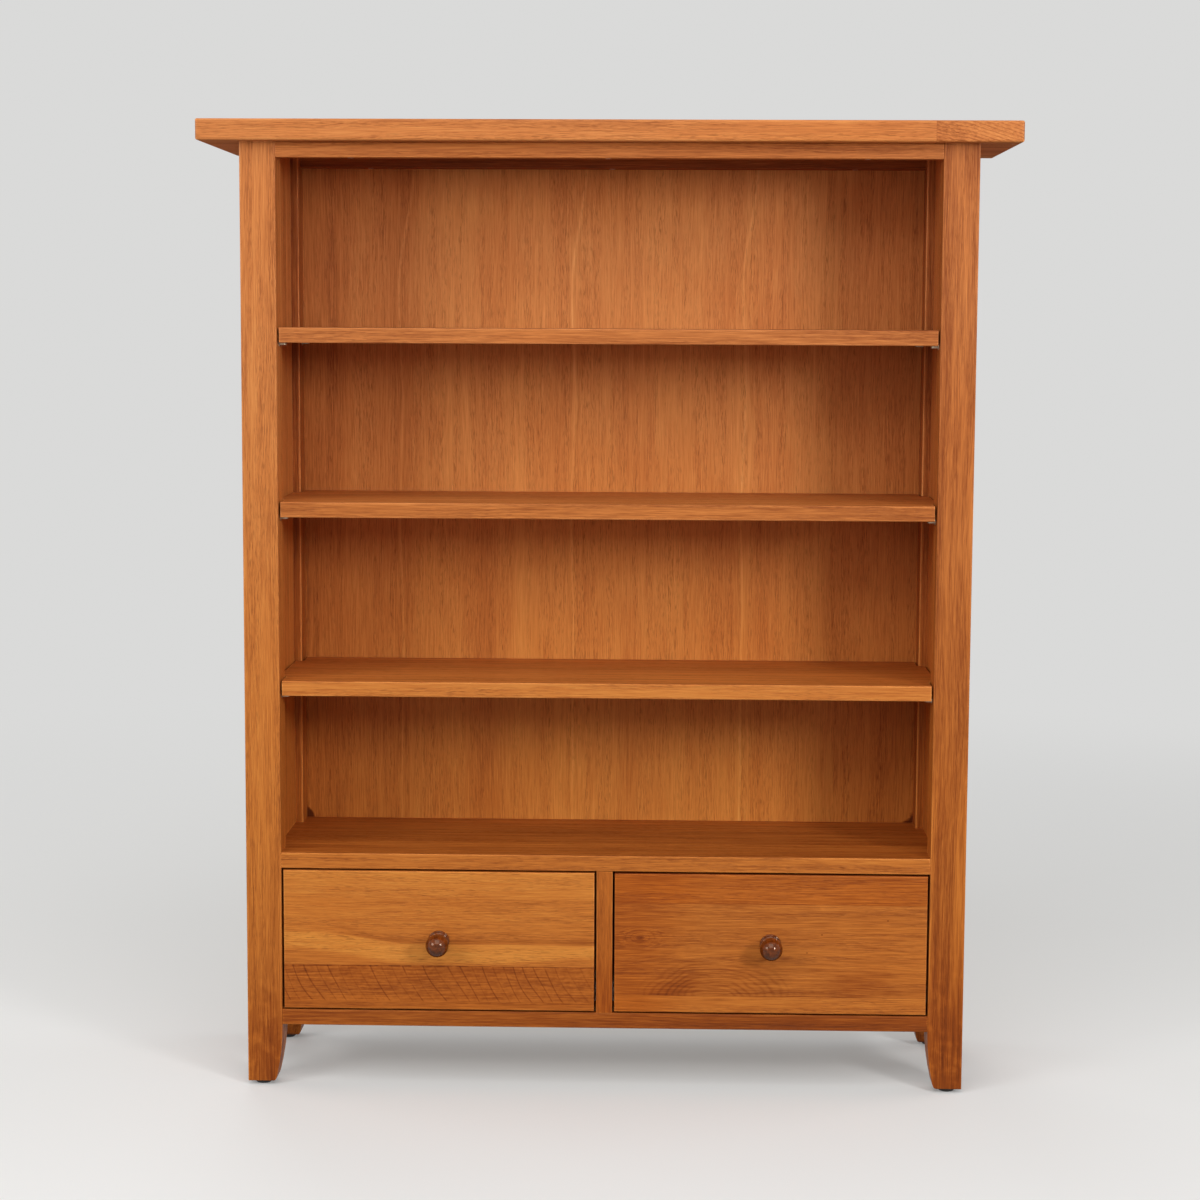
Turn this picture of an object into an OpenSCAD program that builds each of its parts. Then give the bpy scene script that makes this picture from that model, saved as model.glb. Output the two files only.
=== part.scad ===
// Oak bookcase with three adjustable shelves over two drawers. All lengths are in millimetres.
// The woodwork is set out from the front face of the posts (y = 0), the middle of the
// case (x = 0) and the underside of the wooden feet (z = 0). placed() then moves each piece
// so that the origin is the bottom centre of the whole bookcase.

/* [Case] */
// Width over the posts
case_w = 900; // [780:10:1000]
// Depth over the posts
case_d = 240; // [220:5:300]
// Height of the woodwork, from the feet to the top surface
case_h = 1200; // [1140:10:1400]
// Side of the square posts
post_w = 44; // [38:1:52]
// Height of the tapered legs below the bottom rails
leg_h = 73; // [60:1:100]
// Width of a foot at the floor, seen from the front
foot_w = 35; // [28:1:38]
// Depth of a foot at the floor, seen from the side
foot_d = 32; // [28:1:38]
// Rounding of a foot's inner lower corners
foot_round = 6; // [2:1:10]
// Rounding of the long edges of the posts and boards
arris = 1.5; // [0.5:0.25:3]

/* [Top] */
// Thickness of the top
top_t = 26; // [18:1:32]
// Overhang of the top at each side
top_over_side = 50; // [20:1:70]
// Overhang of the top at the front
top_over_front = 20; // [10:1:30]
// Overhang of the top at the back, which clears a skirting board
top_over_back = 40; // [5:1:50]
// Rounding of the edges of the top
top_round = 3; // [1:0.5:6]

/* [Rails and panels] */
// Thickness of the four rails, front to back
rail_t = 22; // [18:1:24]
// Height of the two rails under the top
top_rail_h = 19; // [16:1:30]
// Height of the two rails under the drawers
bottom_rail_h = 20; // [16:1:30]
// How far the rails and the drawer deck stand behind the front of the posts
rail_set = 1.5; // [0.5:0.5:3]
// Length of the tenons on the rails
tenon_l = 12; // [8:1:14]
// Thickness of the tenons on the rails
tenon_t = 10; // [6:1:12]
// Thickness of the side panels
side_t = 18; // [15:1:20]
// How far the side panels lie outside the inner faces of the posts
side_recess = 10; // [8:1:12]
// Thickness of the tongues that join a side panel to its posts
tongue_t = 8; // [5:1:9]
// Length of the tongues that join a side panel to its posts
tongue_l = 8; // [5:1:10]
// Thickness of the back panel
back_t = 5; // [4:1:8]
// Width of the rebates that hold the back panel and the bottom panel
rebate_w = 10; // [8:1:12]
// Thickness of the bottom panel under the drawers
bottom_t = 6; // [4:1:8]

/* [Shelves] */
// Thickness of the adjustable shelves
shelf_t = 19; // [16:1:22]
// Clear height between the drawer deck and the lower shelf
lower_bay_h = 198; // [170:1:215]
// Clear height between the lower and the middle shelf
middle_bay_h = 204; // [170:1:215]
// Clear height between the middle and the upper shelf
upper_bay_h = 196; // [170:1:215]
// Gap at each end of a shelf
shelf_gap = 2.5; // [1.5:0.5:4]
// How far the shelves stand behind the front of the posts
shelf_set = 3; // [1:0.5:8]
// Diameter of the holes for the shelf pins
pin_hole_d = 5.1; // [5.05:0.05:6]
// Length of a shelf pin in its hole
pin_l = 11; // [8:1:14]
// Reach of a shelf pin's flat tab, out from its collar
tab_l = 9; // [7:1:12]
// Thickness of a shelf pin's flat tab
tab_t = 2.7; // [2:0.1:3.5]

/* [Drawer compartment] */
// Thickness of the deck over the drawers
deck_t = 20; // [18:1:25]
// Height of the opening for the drawers
drawer_space_h = 181; // [175:1:215]
// Thickness of the partition between the drawers
partition_t = 20; // [20:1:26]
// Depth of the housings that hold the ends of the deck and the top of the partition
housing = 4; // [3:1:6]

/* [Drawers] */
// Thickness of a drawer front
front_t = 19; // [16:1:22]
// Gap at each side of a drawer front
front_gap_x = 2.5; // [1.5:0.5:4]
// Gap above and below a drawer front
front_gap_z = 2; // [1.5:0.5:4]
// Thickness of the drawer sides, box front and back
box_t = 12; // [12:1:15]
// Height of the drawer sides
box_h = 120; // [95:5:140]
// Space behind a closed drawer
rear_space = 16; // [14:1:30]
// Thickness of a drawer bottom
drawer_bottom_t = 5; // [4:1:6]
// Number of dovetails at each front corner of a drawer box
tails = 3; // [2:1:4]

/* [Knobs] */
// Diameter of a knob's ball
knob_d = 28.5; // [24:0.5:32]
// Length of a knob, out from the drawer front
knob_l = 40; // [34:1:44]
// Diameter of a knob's base
knob_base_d = 27; // [22:1:30]
// Thickness of a knob's base
knob_base_t = 3; // [2:0.5:4]
// Diameter of a knob's neck
knob_neck_d = 18; // [12:1:20]

/* [Drawer runners] */
// Space for the runners at each side of a drawer box
runner_gap = 12.5; // [12.5:0.1:13]
// Height of a cabinet runner
runner_h = 24; // [24:0.5:28]
// Thickness of the steel sheet of the runners
sheet = 1.2; // [1:0.1:1.3]
// Height of the runners above the bottom panel
runner_up = 10; // [6:1:20]
// Diameter of a roller
roller_d = 17; // [15:0.5:17]
// Width of a roller
roller_w = 6.5; // [5:0.5:6.5]
// Diameter of a roller's axle
axle_d = 4; // [3:0.5:5]

/* [Feet] */
// Height of a glide under a foot
glide_h = 5; // [3:0.5:8]
// Diameter of a glide
glide_d = 20; // [16:1:22]

/* [Hidden] */
LEFT = -1;
RIGHT = 1;

// Colours
oak = "#b97542";
oak_dark = "#9a5a30";
oak_pale = "#c9925f";
ply = "#d2ab78";
turned = "#4a2414";
nickel = "#b8b4aa";
zinc = "#c4c2b8";
white_steel = "#e6e2d8";
nylon = "#f2efe6";
felt = "#2a2421";

// Cuts run this far past the faces that they open
overrun = 1;
// Play round a glued tongue, tenon or panel edge
glue = 0.1;
// Room at the end of a tongue, tenon, pin or screw
end_gap = 1;
// Play round a pin, screw or axle, on the radius
fit = 0.05;
// Smallest gap between a roller and its track
roll_gap = 0.3;
// Steps in a small rounding
steps = 4;
// Faces of a round piece
fine = 48;

// Fasteners
screw_d = 4;
screw_head_d = 8;
screw_head_h = 2;
small_screw_d = 3.5;
small_head_d = 7;
small_head_h = 1.2;
back_screw_l = 14;
top_screw_grip = 15;
runner_screw_l = 14;
drawer_screw_l = 9;
front_screw_grip = 13;
knob_screw_grip = 12;
nail_d = 2.5;
nail_l = 12;
recess_share = 0.55;
recess_slot_share = 0.14;

// Levels and faces of the case
inner_x = case_w / 2 - post_w;
side_x = inner_x + side_recess;
tongue_x = side_x + (side_t - tongue_t) / 2;
under_top = case_h - top_t;
back_face = case_d - back_t;
back_rail_y = back_face - rail_t;
back_post_y = case_d - post_w;
floor_z = leg_h + bottom_rail_h;
deck_z = floor_z + drawer_space_h;
deck_top = deck_z + deck_t;
front_y = -(case_d + top_over_back - knob_l) / 2;

// Shelves and their pins
lower_z = deck_top + lower_bay_h;
middle_z = lower_z + shelf_t + middle_bay_h;
upper_z = middle_z + shelf_t + upper_bay_h;
shelf_levels = [lower_z, middle_z, upper_z];
shelf_back_gap = 1;
shelf_post_gap = 1.5;
pin_d = pin_hole_d - 2 * fit;
pin_collar_d = 8;
pin_collar_t = 1;
tab_w = 9;

// Drawer fronts and boxes
bay_w = inner_x - partition_t / 2;
bay_x = partition_t / 2 + bay_w / 2;
front_w = bay_w - 2 * front_gap_x;
front_z = floor_z + front_gap_z;
front_h = drawer_space_h - 2 * front_gap_z;
box_w = bay_w - 2 * runner_gap;
box_l = back_face - rear_space - front_t;
box_y = front_t;
box_end = box_y + box_l;
box_groove = 6;
box_groove_up = 8;
box_back_inset = 10;
box_housing = 4;
tail_slope = 6;
tail_share = 0.7;

// Runners, measured from the bottom of the cabinet runner
slide_z = floor_z + runner_up;
runner_set = 3;
runner_y = front_t + runner_set;
runner_l = box_l;
channel_w = 9.5;
lid_w = 7;
lid_start = 25;
member_low = 2.5;
member_under = 9.5;
member_play = 2;
member_y = front_t + member_play;
lip_x = 2.2;
boss_t = 0.5;
rivet_head_t = 0.9;
rivet_head_d = 7;
roller_play = 0.1;
roller_in = 11;
front_axle_z = sheet + boss_t + roller_d / 2;
lip_z = front_axle_z + roller_d / 2 + roll_gap;
rear_axle_z = sheet + roll_gap + roller_d / 2;
box_z = slide_z + member_low + sheet;
front_axle_y = runner_y + roller_in;
rear_axle_y = box_end - roller_in;
runner_screw_shares = [0.2, 0.75];
member_screw_shares = [0.2, 0.6];
stagger = 16;
member_screw_z = 9;
batten_h = 40;

// Places of the other screws, as shares of the case
top_screw_shares = [-0.35, 0, 0.35];
back_screw_shares = [-0.25, 0.25];
post_screw_shares = [0.12, 0.37, 0.63, 0.88];
front_screw_shares = [-0.32, 0.32];
front_screw_height_shares = [0.25, 0.75];

// Points on an arc, in order of the angle
function arc(centre, r, from, to) =
    [for (i = [0:steps])
        let (angle = from + (to - from) * i / steps)
        centre + r * [cos(angle), sin(angle)]];

// A rectangle with all four corners rounded
function soft_rect(w, h, r) =
    concat(
        arc([w - r, h - r], r, 0, 90),
        arc([r, h - r], r, 90, 180),
        arc([r, r], r, 180, 270),
        arc([w - r, r], r, 270, 360)
    );

// The section of a board, front to back, with its two front edges rounded
function nosed(depth, thick, r) =
    concat(arc([r, thick - r], r, 90, 180), arc([r, r], r, 180, 270), [[depth, 0], [depth, thick]]);

// The outline of a post from its outer face (0) inwards: the leg curves in to a rounded foot
function leg_outline(wide, foot) =
    let (
        inset = wide - foot,
        bow = (leg_h * leg_h + inset * inset) / (2 * inset),
        slant = asin((leg_h - foot_round) / (bow - foot_round)),
        turn = wide - bow + (bow - foot_round) * cos(slant)
    )
    concat(
        arc([arris, arris], arris, 180, 270),
        arc([turn, foot_round], foot_round, 270, 360 - slant),
        arc([wide - bow, leg_h], bow, -slant, 0),
        [[wide, under_top], [0, under_top]]
    );

// The plan of a board that is notched round all four posts
function notched(y0, y1, narrow, wide, notch_front, notch_back) =
    [
        [-narrow, y0], [narrow, y0], [narrow, notch_front], [wide, notch_front],
        [wide, notch_back], [narrow, notch_back], [narrow, y1], [-narrow, y1],
        [-narrow, notch_back], [-wide, notch_back], [-wide, notch_front], [-narrow, notch_front]
    ];

// A dovetail at height z, seen along x, from its root in the side to the front of the box; play widens it
function tail(z, play) =
    let (
        wide = box_h / tails * tail_share,
        narrow = wide - 2 * box_t / tail_slope,
        root = box_y + box_t
    )
    [
        [root, z - narrow / 2 - play], [box_y, z - wide / 2 - play],
        [box_y, z + wide / 2 + play], [root, z + narrow / 2 + play]
    ];

// The socket for that dovetail, open at both faces of the board
function socket(z) =
    let (edge = tail(z, glue))
    [
        edge[0] + [overrun, 0], edge[0], edge[1], edge[1] - [overrun, 0],
        edge[2] - [overrun, 0], edge[2], edge[3], edge[3] + [overrun, 0]
    ];

// The middle of each dovetail
function tail_heights() = [for (i = [0:tails - 1]) box_z + box_h * (i + 0.5) / tails];

// A side of a drawer box seen along x, with its dovetails at the front
function side_outline() =
    concat(
        [[box_end, box_z + box_h], [box_end, box_z], [box_y + box_t, box_z]],
        [for (z = tail_heights()) each tail(z, 0)],
        [[box_y + box_t, box_z + box_h]]
    );

// Moves a piece from the woodwork's frame to the frame of the whole
module placed() translate([0, front_y, glide_h]) children();

// Draws a right-hand piece, or mirrors it for the left
module handed(side) mirror([side < 0 ? 1 : 0, 0, 0]) children();

// Turns a front piece to the back of the case
module at_back() translate([0, case_d, 0]) mirror([0, 1, 0]) children();

// A square-edged block between two corners
module block(a, b) translate(a) cube(b - a);

// Extrusions of an outline along x and along y
module along_x(x0, x1) translate([x0, 0, 0]) rotate([90, 0, 90]) linear_extrude(x1 - x0) children();
module along_y(y0, y1) translate([0, y1, 0]) rotate([90, 0, 0]) linear_extrude(y1 - y0) children();

// A plain round pin along z
module rod(d, l) cylinder(d = d, h = l, $fn = fine);

// A countersunk screw, its head's flat at z = 0 and its point at +z; play widens it into its hole
module flat_screw(d, head, l, play) {
    rod(d + 2 * play, l + play);
    cylinder(d1 = head + 2 * play, d2 = d + 2 * play, h = (head - d) / 2, $fn = fine);
}

// A cross recess for a screwdriver, cut into a head from z = 0 upwards
module cross_recess(head, deep) {
    reach = head * recess_share / 2;
    side = head * recess_slot_share / 2;
    for (turn = [45, 135])
        rotate(turn) block([-reach, -side, -overrun], [reach, side, deep]);
}

// A countersunk screw with its recess
module driven_flat_screw(d, head, l) {
    difference() {
        flat_screw(d, head, l, 0);
        cross_recess(head, (head - d) / 2);
    }
}

// A pan-head screw whose rounded head lies below z = 0, with its recess
module pan_screw(d, head, head_h, l) {
    edge = head_h / 2;
    difference() {
        union() {
            rod(d, l);
            rotate_extrude($fn = fine)
                polygon(concat(
                    [[0, 0], [head / 2, 0]],
                    arc([head / 2 - edge, -edge], edge, 0, -90),
                    [[0, -head_h]]
                ));
        }
        translate([0, 0, -head_h]) cross_recess(head, head_h);
    }
}

// A board with rounded front edges and a notched plan, from y0 to y1
module notched_board(y0, y1, z, thick, narrow, wide, play) {
    intersection() {
        along_x(-wide - overrun, wide + overrun)
            translate([y0, z]) polygon(nosed(y1 - y0 + overrun, thick, arris));
        translate([0, 0, z - overrun])
            linear_extrude(thick + 2 * overrun)
                polygon(notched(y0 - overrun, y1, narrow, wide, post_w + play, back_post_y - play));
    }
}

// Places of the top screws, along +z from the undersides of the top rails
module at_top_screws() {
    for (share = top_screw_shares, y = [rail_set + rail_t / 2, back_rail_y + rail_t / 2])
        translate([share * case_w, y, under_top - top_rail_h]) children();
}

// Places of the back panel's screws, driven forwards from its rear face
module at_back_screws() {
    for (share = post_screw_shares, side = [LEFT, RIGHT])
        translate([side * (inner_x + rebate_w / 2), case_d, leg_h + share * (under_top - leg_h)])
            rotate([90, 0, 0]) children();
    for (z = [leg_h + bottom_rail_h / 2, deck_z + deck_t / 2, under_top - top_rail_h / 2])
        for (share = back_screw_shares)
            translate([share * case_w, case_d, z]) rotate([90, 0, 0]) children();
    translate([0, case_d, floor_z + drawer_space_h / 2]) rotate([90, 0, 0]) children();
}

// Places of the shelf pins, along +x into the right-hand posts and mirrored into the left
module at_pins() {
    for (side = [LEFT, RIGHT], z = shelf_levels, y = [post_w / 2, case_d - post_w / 2])
        handed(side) translate([inner_x, y, z - tab_t / 2]) rotate([0, 90, 0]) children();
}

// Places of the glides
module at_feet() {
    for (side = [LEFT, RIGHT], y = [foot_d / 2, case_d - foot_d / 2])
        translate([side * (case_w / 2 - foot_w / 2), y, 0]) children();
}

// The face that a cabinet runner is screwed to, in the left or right bay, at its outer or inner side.
// There x points away from the face, y to the back and z up from the bottom of the runner.
module at_runner(bay, outer) {
    handed(bay)
        translate([outer ? inner_x : partition_t / 2, 0, slide_z])
            mirror([outer ? 1 : 0, 0, 0]) children();
}

// The screws of one cabinet runner; the right inner ones are staggered past the left inner ones
module at_runner_screws(bay, outer) {
    shift = bay == RIGHT && !outer ? stagger : 0;
    for (share = runner_screw_shares)
        at_runner(bay, outer)
            translate([sheet, runner_y + share * runner_l + shift, runner_h / 2])
                rotate([0, -90, 0]) children();
}

// The screws of one drawer runner, in the same frame
module at_member_screws() {
    for (share = member_screw_shares)
        translate([runner_gap - sheet, member_y + share * (box_end - member_y), member_screw_z])
            rotate([0, 90, 0]) children();
}

// Holes for the cabinet runners' screws
module runner_screw_holes() {
    for (bay = [LEFT, RIGHT], outer = [true, false])
        at_runner_screws(bay, outer)
            rod(small_screw_d + 2 * fit, runner_screw_l + fit);
}

// The mortises for the rails, in all posts
module mortises() {
    for (side = [LEFT, RIGHT])
        handed(side)
            for (y = [rail_set, back_rail_y])
                for (span = [[leg_h, bottom_rail_h], [under_top - top_rail_h, top_rail_h]])
                    rail_tenon(y, span[0], span[1], inner_x - overrun, inner_x + tenon_l + end_gap, glue);
}

// A tenon in the middle of a rail's end
module rail_tenon(y, z, h, x0, x1, play) {
    shoulder = (rail_t - tenon_t) / 2;
    block(
        [x0, y + shoulder - play, z + arris - play],
        [x1, y + shoulder + tenon_t + play, z + h - arris + play]
    );
}

// A plain post at the right front, before its joints are cut
module post_blank() {
    translate([case_w / 2, 0, 0])
        mirror([1, 0, 0])
            intersection() {
                linear_extrude(under_top) polygon(soft_rect(post_w, post_w, arris));
                along_y(-overrun, post_w + overrun) polygon(leg_outline(post_w, foot_w));
                along_x(-overrun, post_w + overrun) polygon(leg_outline(post_w, foot_d));
            }
}

// The groove in a right front post that holds a side panel's tongue
module tongue_groove() {
    block(
        [tongue_x - glue, post_w - tongue_l - end_gap, leg_h],
        [tongue_x + tongue_t + glue, post_w + overrun, under_top + overrun]
    );
}

module front_post(side) {
    color(oak)
        placed()
            difference() {
                handed(side) difference() {
                    post_blank();
                    tongue_groove();
                }
                mortises();
                at_pins() translate([0, 0, -overrun]) rod(pin_hole_d, pin_l + end_gap + overrun);
                at_feet() rod(nail_d + 2 * fit, nail_l + fit);
            }
}

module back_post(side) {
    color(oak)
        placed()
            difference() {
                handed(side) difference() {
                    at_back() difference() {
                        post_blank();
                        tongue_groove();
                    }
                    block(
                        [inner_x - overrun, back_face, leg_h],
                        [inner_x + rebate_w, case_d + overrun, under_top + overrun]
                    );
                }
                mortises();
                at_pins() translate([0, 0, -overrun]) rod(pin_hole_d, pin_l + end_gap + overrun);
                at_feet() rod(nail_d + 2 * fit, nail_l + fit);
                at_back_screws() rod(small_screw_d + 2 * fit, back_screw_l + fit);
            }
}

module side_panel(side) {
    color(oak)
        placed()
            difference() {
                handed(side) difference() {
                    union() {
                        block([side_x, post_w, leg_h], [side_x + side_t, back_post_y, under_top]);
                        block(
                            [tongue_x, post_w - tongue_l, leg_h],
                            [tongue_x + tongue_t, back_post_y + tongue_l, under_top]
                        );
                    }
                    block(
                        [side_x - overrun, post_w - overrun, deck_z - glue],
                        [side_x + housing, back_post_y + overrun, deck_top + glue]
                    );
                }
                runner_screw_holes();
            }
}

// A rail between the posts at depth y, with a tenon at each end
module rail_blank(y, z, h) {
    along_x(-inner_x, inner_x) translate([y, z]) polygon(nosed(rail_t, h, arris));
    rail_tenon(y, z, h, -inner_x - tenon_l, inner_x + tenon_l, 0);
}

module top_front_rail() {
    color(oak_dark)
        placed()
            difference() {
                rail_blank(rail_set, under_top - top_rail_h, top_rail_h);
                at_top_screws() flat_screw(screw_d, screw_head_d, top_rail_h + top_screw_grip, fit);
            }
}

module top_back_rail() {
    color(oak_dark)
        placed()
            difference() {
                rail_blank(back_rail_y, under_top - top_rail_h, top_rail_h);
                at_top_screws() flat_screw(screw_d, screw_head_d, top_rail_h + top_screw_grip, fit);
                at_back_screws() rod(small_screw_d + 2 * fit, back_screw_l + fit);
            }
}

// The rebates in the bottom rails that carry the bottom panel
module bottom_rebates() {
    block(
        [-inner_x - overrun, rail_set + rail_t - rebate_w, floor_z - bottom_t],
        [inner_x + overrun, back_rail_y + rebate_w, floor_z + overrun]
    );
}

module bottom_front_rail() {
    color(oak_dark)
        placed()
            difference() {
                rail_blank(rail_set, leg_h, bottom_rail_h);
                bottom_rebates();
            }
}

module bottom_back_rail() {
    color(oak_dark)
        placed()
            difference() {
                rail_blank(back_rail_y, leg_h, bottom_rail_h);
                bottom_rebates();
                at_back_screws() rod(small_screw_d + 2 * fit, back_screw_l + fit);
            }
}

module bottom_panel() {
    color(ply)
        placed()
            translate([0, 0, floor_z - bottom_t])
                linear_extrude(bottom_t)
                    polygon(notched(
                        rail_set + rail_t - rebate_w + glue, back_rail_y + rebate_w - glue,
                        inner_x - glue, side_x - glue, post_w + glue, back_post_y - glue
                    ));
}

module back_panel() {
    color(oak_dark)
        placed()
            difference() {
                block(
                    [-inner_x - rebate_w + glue, back_face, leg_h],
                    [inner_x + rebate_w - glue, case_d, under_top]
                );
                at_back_screws() flat_screw(small_screw_d, small_head_d, back_screw_l, fit);
            }
}

module top_panel() {
    wide = case_w + 2 * top_over_side;
    deep = top_over_front + case_d + top_over_back;
    color(oak)
        placed()
            difference() {
                intersection() {
                    along_x(-wide, wide)
                        translate([-top_over_front, under_top]) polygon(soft_rect(deep, top_t, top_round));
                    along_y(-deep, 2 * deep)
                        translate([-wide / 2, under_top]) polygon(soft_rect(wide, top_t, top_round));
                    translate([-wide / 2, -top_over_front, under_top - overrun])
                        linear_extrude(top_t + 2 * overrun) polygon(soft_rect(wide, deep, top_round));
                }
                at_top_screws() rod(screw_d + 2 * fit, top_rail_h + top_screw_grip + fit);
            }
}

// The deck over the drawers, housed in the side panels and grooved for the partition
module drawer_deck() {
    color(oak)
        placed()
            difference() {
                notched_board(rail_set, back_face, deck_z, deck_t, inner_x, side_x + housing - glue, 0);
                block(
                    [-partition_t / 2 - glue, rail_set + partition_t / 2, deck_z - overrun],
                    [partition_t / 2 + glue, back_face + overrun, deck_z + housing]
                );
                at_back_screws() rod(small_screw_d + 2 * fit, back_screw_l + fit);
            }
}

module drawer_partition() {
    color(oak_dark)
        placed()
            difference() {
                union() {
                    translate([0, 0, floor_z])
                        linear_extrude(drawer_space_h)
                            translate([-partition_t / 2, rail_set])
                                square([partition_t, back_face - rail_set]);
                    block(
                        [-partition_t / 2, rail_set + partition_t / 2 + glue, floor_z],
                        [partition_t / 2, back_face, deck_z + housing - glue]
                    );
                }
                runner_screw_holes();
                at_back_screws() rod(small_screw_d + 2 * fit, back_screw_l + fit);
            }
}

// A batten that brings a side panel out to the inner faces of the posts, for the outer runner
module runner_batten(side) {
    color(oak_pale)
        placed()
            difference() {
                handed(side) block([inner_x, post_w, floor_z], [side_x, back_post_y, floor_z + batten_h]);
                runner_screw_holes();
            }
}

module shelf(z) {
    color(oak)
        placed()
            notched_board(
                shelf_set, back_face - shelf_back_gap, z, shelf_t,
                inner_x - shelf_gap, side_x - shelf_gap, shelf_post_gap
            );
}

// One shelf pin along +z into its hole, with its tab towards -z; the shelf lies on the tab at -x
module shelf_pin() {
    rod(pin_d, pin_l);
    translate([0, 0, -pin_collar_t]) rod(pin_collar_d, pin_collar_t);
    translate([-tab_t / 2, -tab_w / 2, -pin_collar_t - tab_l + tab_w / 2])
        cube([tab_t, tab_w, tab_l - tab_w / 2]);
    translate([-tab_t / 2, 0, -pin_collar_t - tab_l + tab_w / 2]) rotate([0, 90, 0]) rod(tab_w, tab_t);
}

module shelf_pins() {
    color(nickel)
        placed()
            at_pins() shelf_pin();
}

// A glide nailed under each foot
module glides() {
    color(felt)
        placed()
            at_feet() {
                translate([0, 0, -glide_h])
                    cylinder(d1 = glide_d - glide_h / 2, d2 = glide_d, h = glide_h / 4, $fn = fine);
                translate([0, 0, -glide_h * 3 / 4]) rod(glide_d, glide_h * 3 / 4);
                rod(nail_d, nail_l);
            }
}

module top_screws() {
    color(zinc)
        placed()
            at_top_screws() driven_flat_screw(screw_d, screw_head_d, top_rail_h + top_screw_grip);
}

module back_screws() {
    color(zinc)
        placed()
            at_back_screws() driven_flat_screw(small_screw_d, small_head_d, back_screw_l);
}

module cabinet_runner_screws() {
    color(zinc)
        placed()
            for (bay = [LEFT, RIGHT], outer = [true, false])
                at_runner_screws(bay, outer)
                    pan_screw(small_screw_d, small_head_d, small_head_h, runner_screw_l);
}

// A riveted axle along +x from the sheet, with a boss behind the roller and a head before it
module axle() {
    reach = boss_t + roller_w + 2 * roller_play;
    rotate([0, 90, 0]) {
        rod(rivet_head_d, boss_t);
        rod(axle_d, reach + rivet_head_t);
        translate([0, 0, reach]) rod(rivet_head_d, rivet_head_t);
    }
}

// A nylon roller along +x, in its place on an axle; its tread's edges are bevelled
module roller() {
    bevel = roller_w / 8;
    rotate([0, 90, 0])
        translate([0, 0, boss_t + roller_play])
            rotate_extrude($fn = fine)
                polygon([
                    [axle_d / 2 + fit, 0], [roller_d / 2 - bevel, 0], [roller_d / 2, bevel],
                    [roller_d / 2, roller_w - bevel], [roller_d / 2 - bevel, roller_w],
                    [axle_d / 2 + fit, roller_w]
                ]);
}

// The steel channel screwed to the case, open at the front of its lid, with a roller's axle
module cabinet_runner(bay, outer) {
    color(white_steel)
        placed()
            difference() {
                at_runner(bay, outer) {
                    difference() {
                        along_y(runner_y, runner_y + runner_l)
                            polygon(concat(
                                arc([sheet, sheet], sheet, 180, 270),
                                [
                                    [channel_w, 0], [channel_w, sheet], [sheet, sheet],
                                    [sheet, runner_h - sheet], [lid_w, runner_h - sheet],
                                    [lid_w, runner_h]
                                ],
                                arc([sheet, runner_h - sheet], sheet, 90, 180)
                            ));
                        block(
                            [sheet, runner_y - overrun, runner_h / 2],
                            [lid_w + overrun, runner_y + lid_start, runner_h + overrun]
                        );
                    }
                    translate([sheet, front_axle_y, front_axle_z]) axle();
                }
                at_runner_screws(bay, outer)
                    translate([0, 0, -sheet]) rod(small_screw_d + 2 * fit, 2 * sheet);
            }
}

module cabinet_roller(bay, outer) {
    color(nylon)
        placed()
            at_runner(bay, outer)
                translate([sheet, front_axle_y, front_axle_z]) roller();
}

// The steel section under a drawer side: its lip rides on the front roller
module drawer_runner(bay, outer) {
    color(white_steel)
        placed()
            at_runner(bay, outer)
                difference() {
                    union() {
                        along_y(member_y, box_end)
                            polygon(concat(
                                arc([runner_gap, member_low + sheet], sheet, 180, 270),
                                [
                                    [runner_gap + member_under, member_low],
                                    [runner_gap + member_under, member_low + sheet],
                                    [runner_gap, member_low + sheet]
                                ],
                                arc([runner_gap - sheet, lip_z], sheet, 0, 90),
                                [[lip_x, lip_z + sheet], [lip_x, lip_z], [runner_gap - sheet, lip_z]]
                            ));
                        translate([runner_gap - sheet, rear_axle_y, rear_axle_z]) mirror([1, 0, 0]) axle();
                    }
                    at_member_screws() translate([0, 0, -sheet]) rod(small_screw_d + 2 * fit, 3 * sheet);
                }
}

module drawer_roller(bay, outer) {
    color(nylon)
        placed()
            at_runner(bay, outer)
                translate([runner_gap - sheet, rear_axle_y, rear_axle_z]) mirror([1, 0, 0]) roller();
}

// Places of the screws that hold a drawer front to its box, driven forwards from inside
module at_front_screws() {
    for (x = front_screw_shares, z = front_screw_height_shares)
        translate([x * box_w, box_y + box_t, box_z + z * box_h]) rotate([90, 0, 0]) children();
}

// The place of a knob's screw, along its axis towards the front
module at_knob() translate([0, box_y + box_t, front_z + front_h / 2]) rotate([90, 0, 0]) children();

// The middle of a drawer
module at_bay(bay) translate([bay * bay_x, 0, 0]) children();

// Holes for the screws through the box front into the drawer front
module front_holes() {
    at_front_screws() rod(screw_d + 2 * fit, box_t + front_screw_grip + fit);
    at_knob() rod(screw_d + 2 * fit, box_t + front_t + overrun);
}

module drawer_front(bay) {
    color(oak)
        placed()
            at_bay(bay)
                difference() {
                    intersection() {
                        along_x(-front_w / 2, front_w / 2)
                            translate([0, front_z]) polygon(nosed(front_t, front_h, arris));
                        translate([0, 0, front_z - overrun])
                            linear_extrude(front_h + 2 * overrun)
                                translate([front_w / 2, 0]) rotate(90) polygon(nosed_plan());
                    }
                    front_holes();
                }
}

// The plan of a drawer front, turned to suit, with its two front corners rounded
function nosed_plan() = nosed(front_t, front_w, arris);

// The groove for a drawer bottom, round the inside of the box
module bottom_groove() {
    reach = box_w / 2 - box_t + box_groove;
    block(
        [-reach, box_y + box_t - box_groove, box_z + box_groove_up - glue],
        [reach, box_end + overrun, box_z + box_groove_up + drawer_bottom_t + glue]
    );
}

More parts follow.
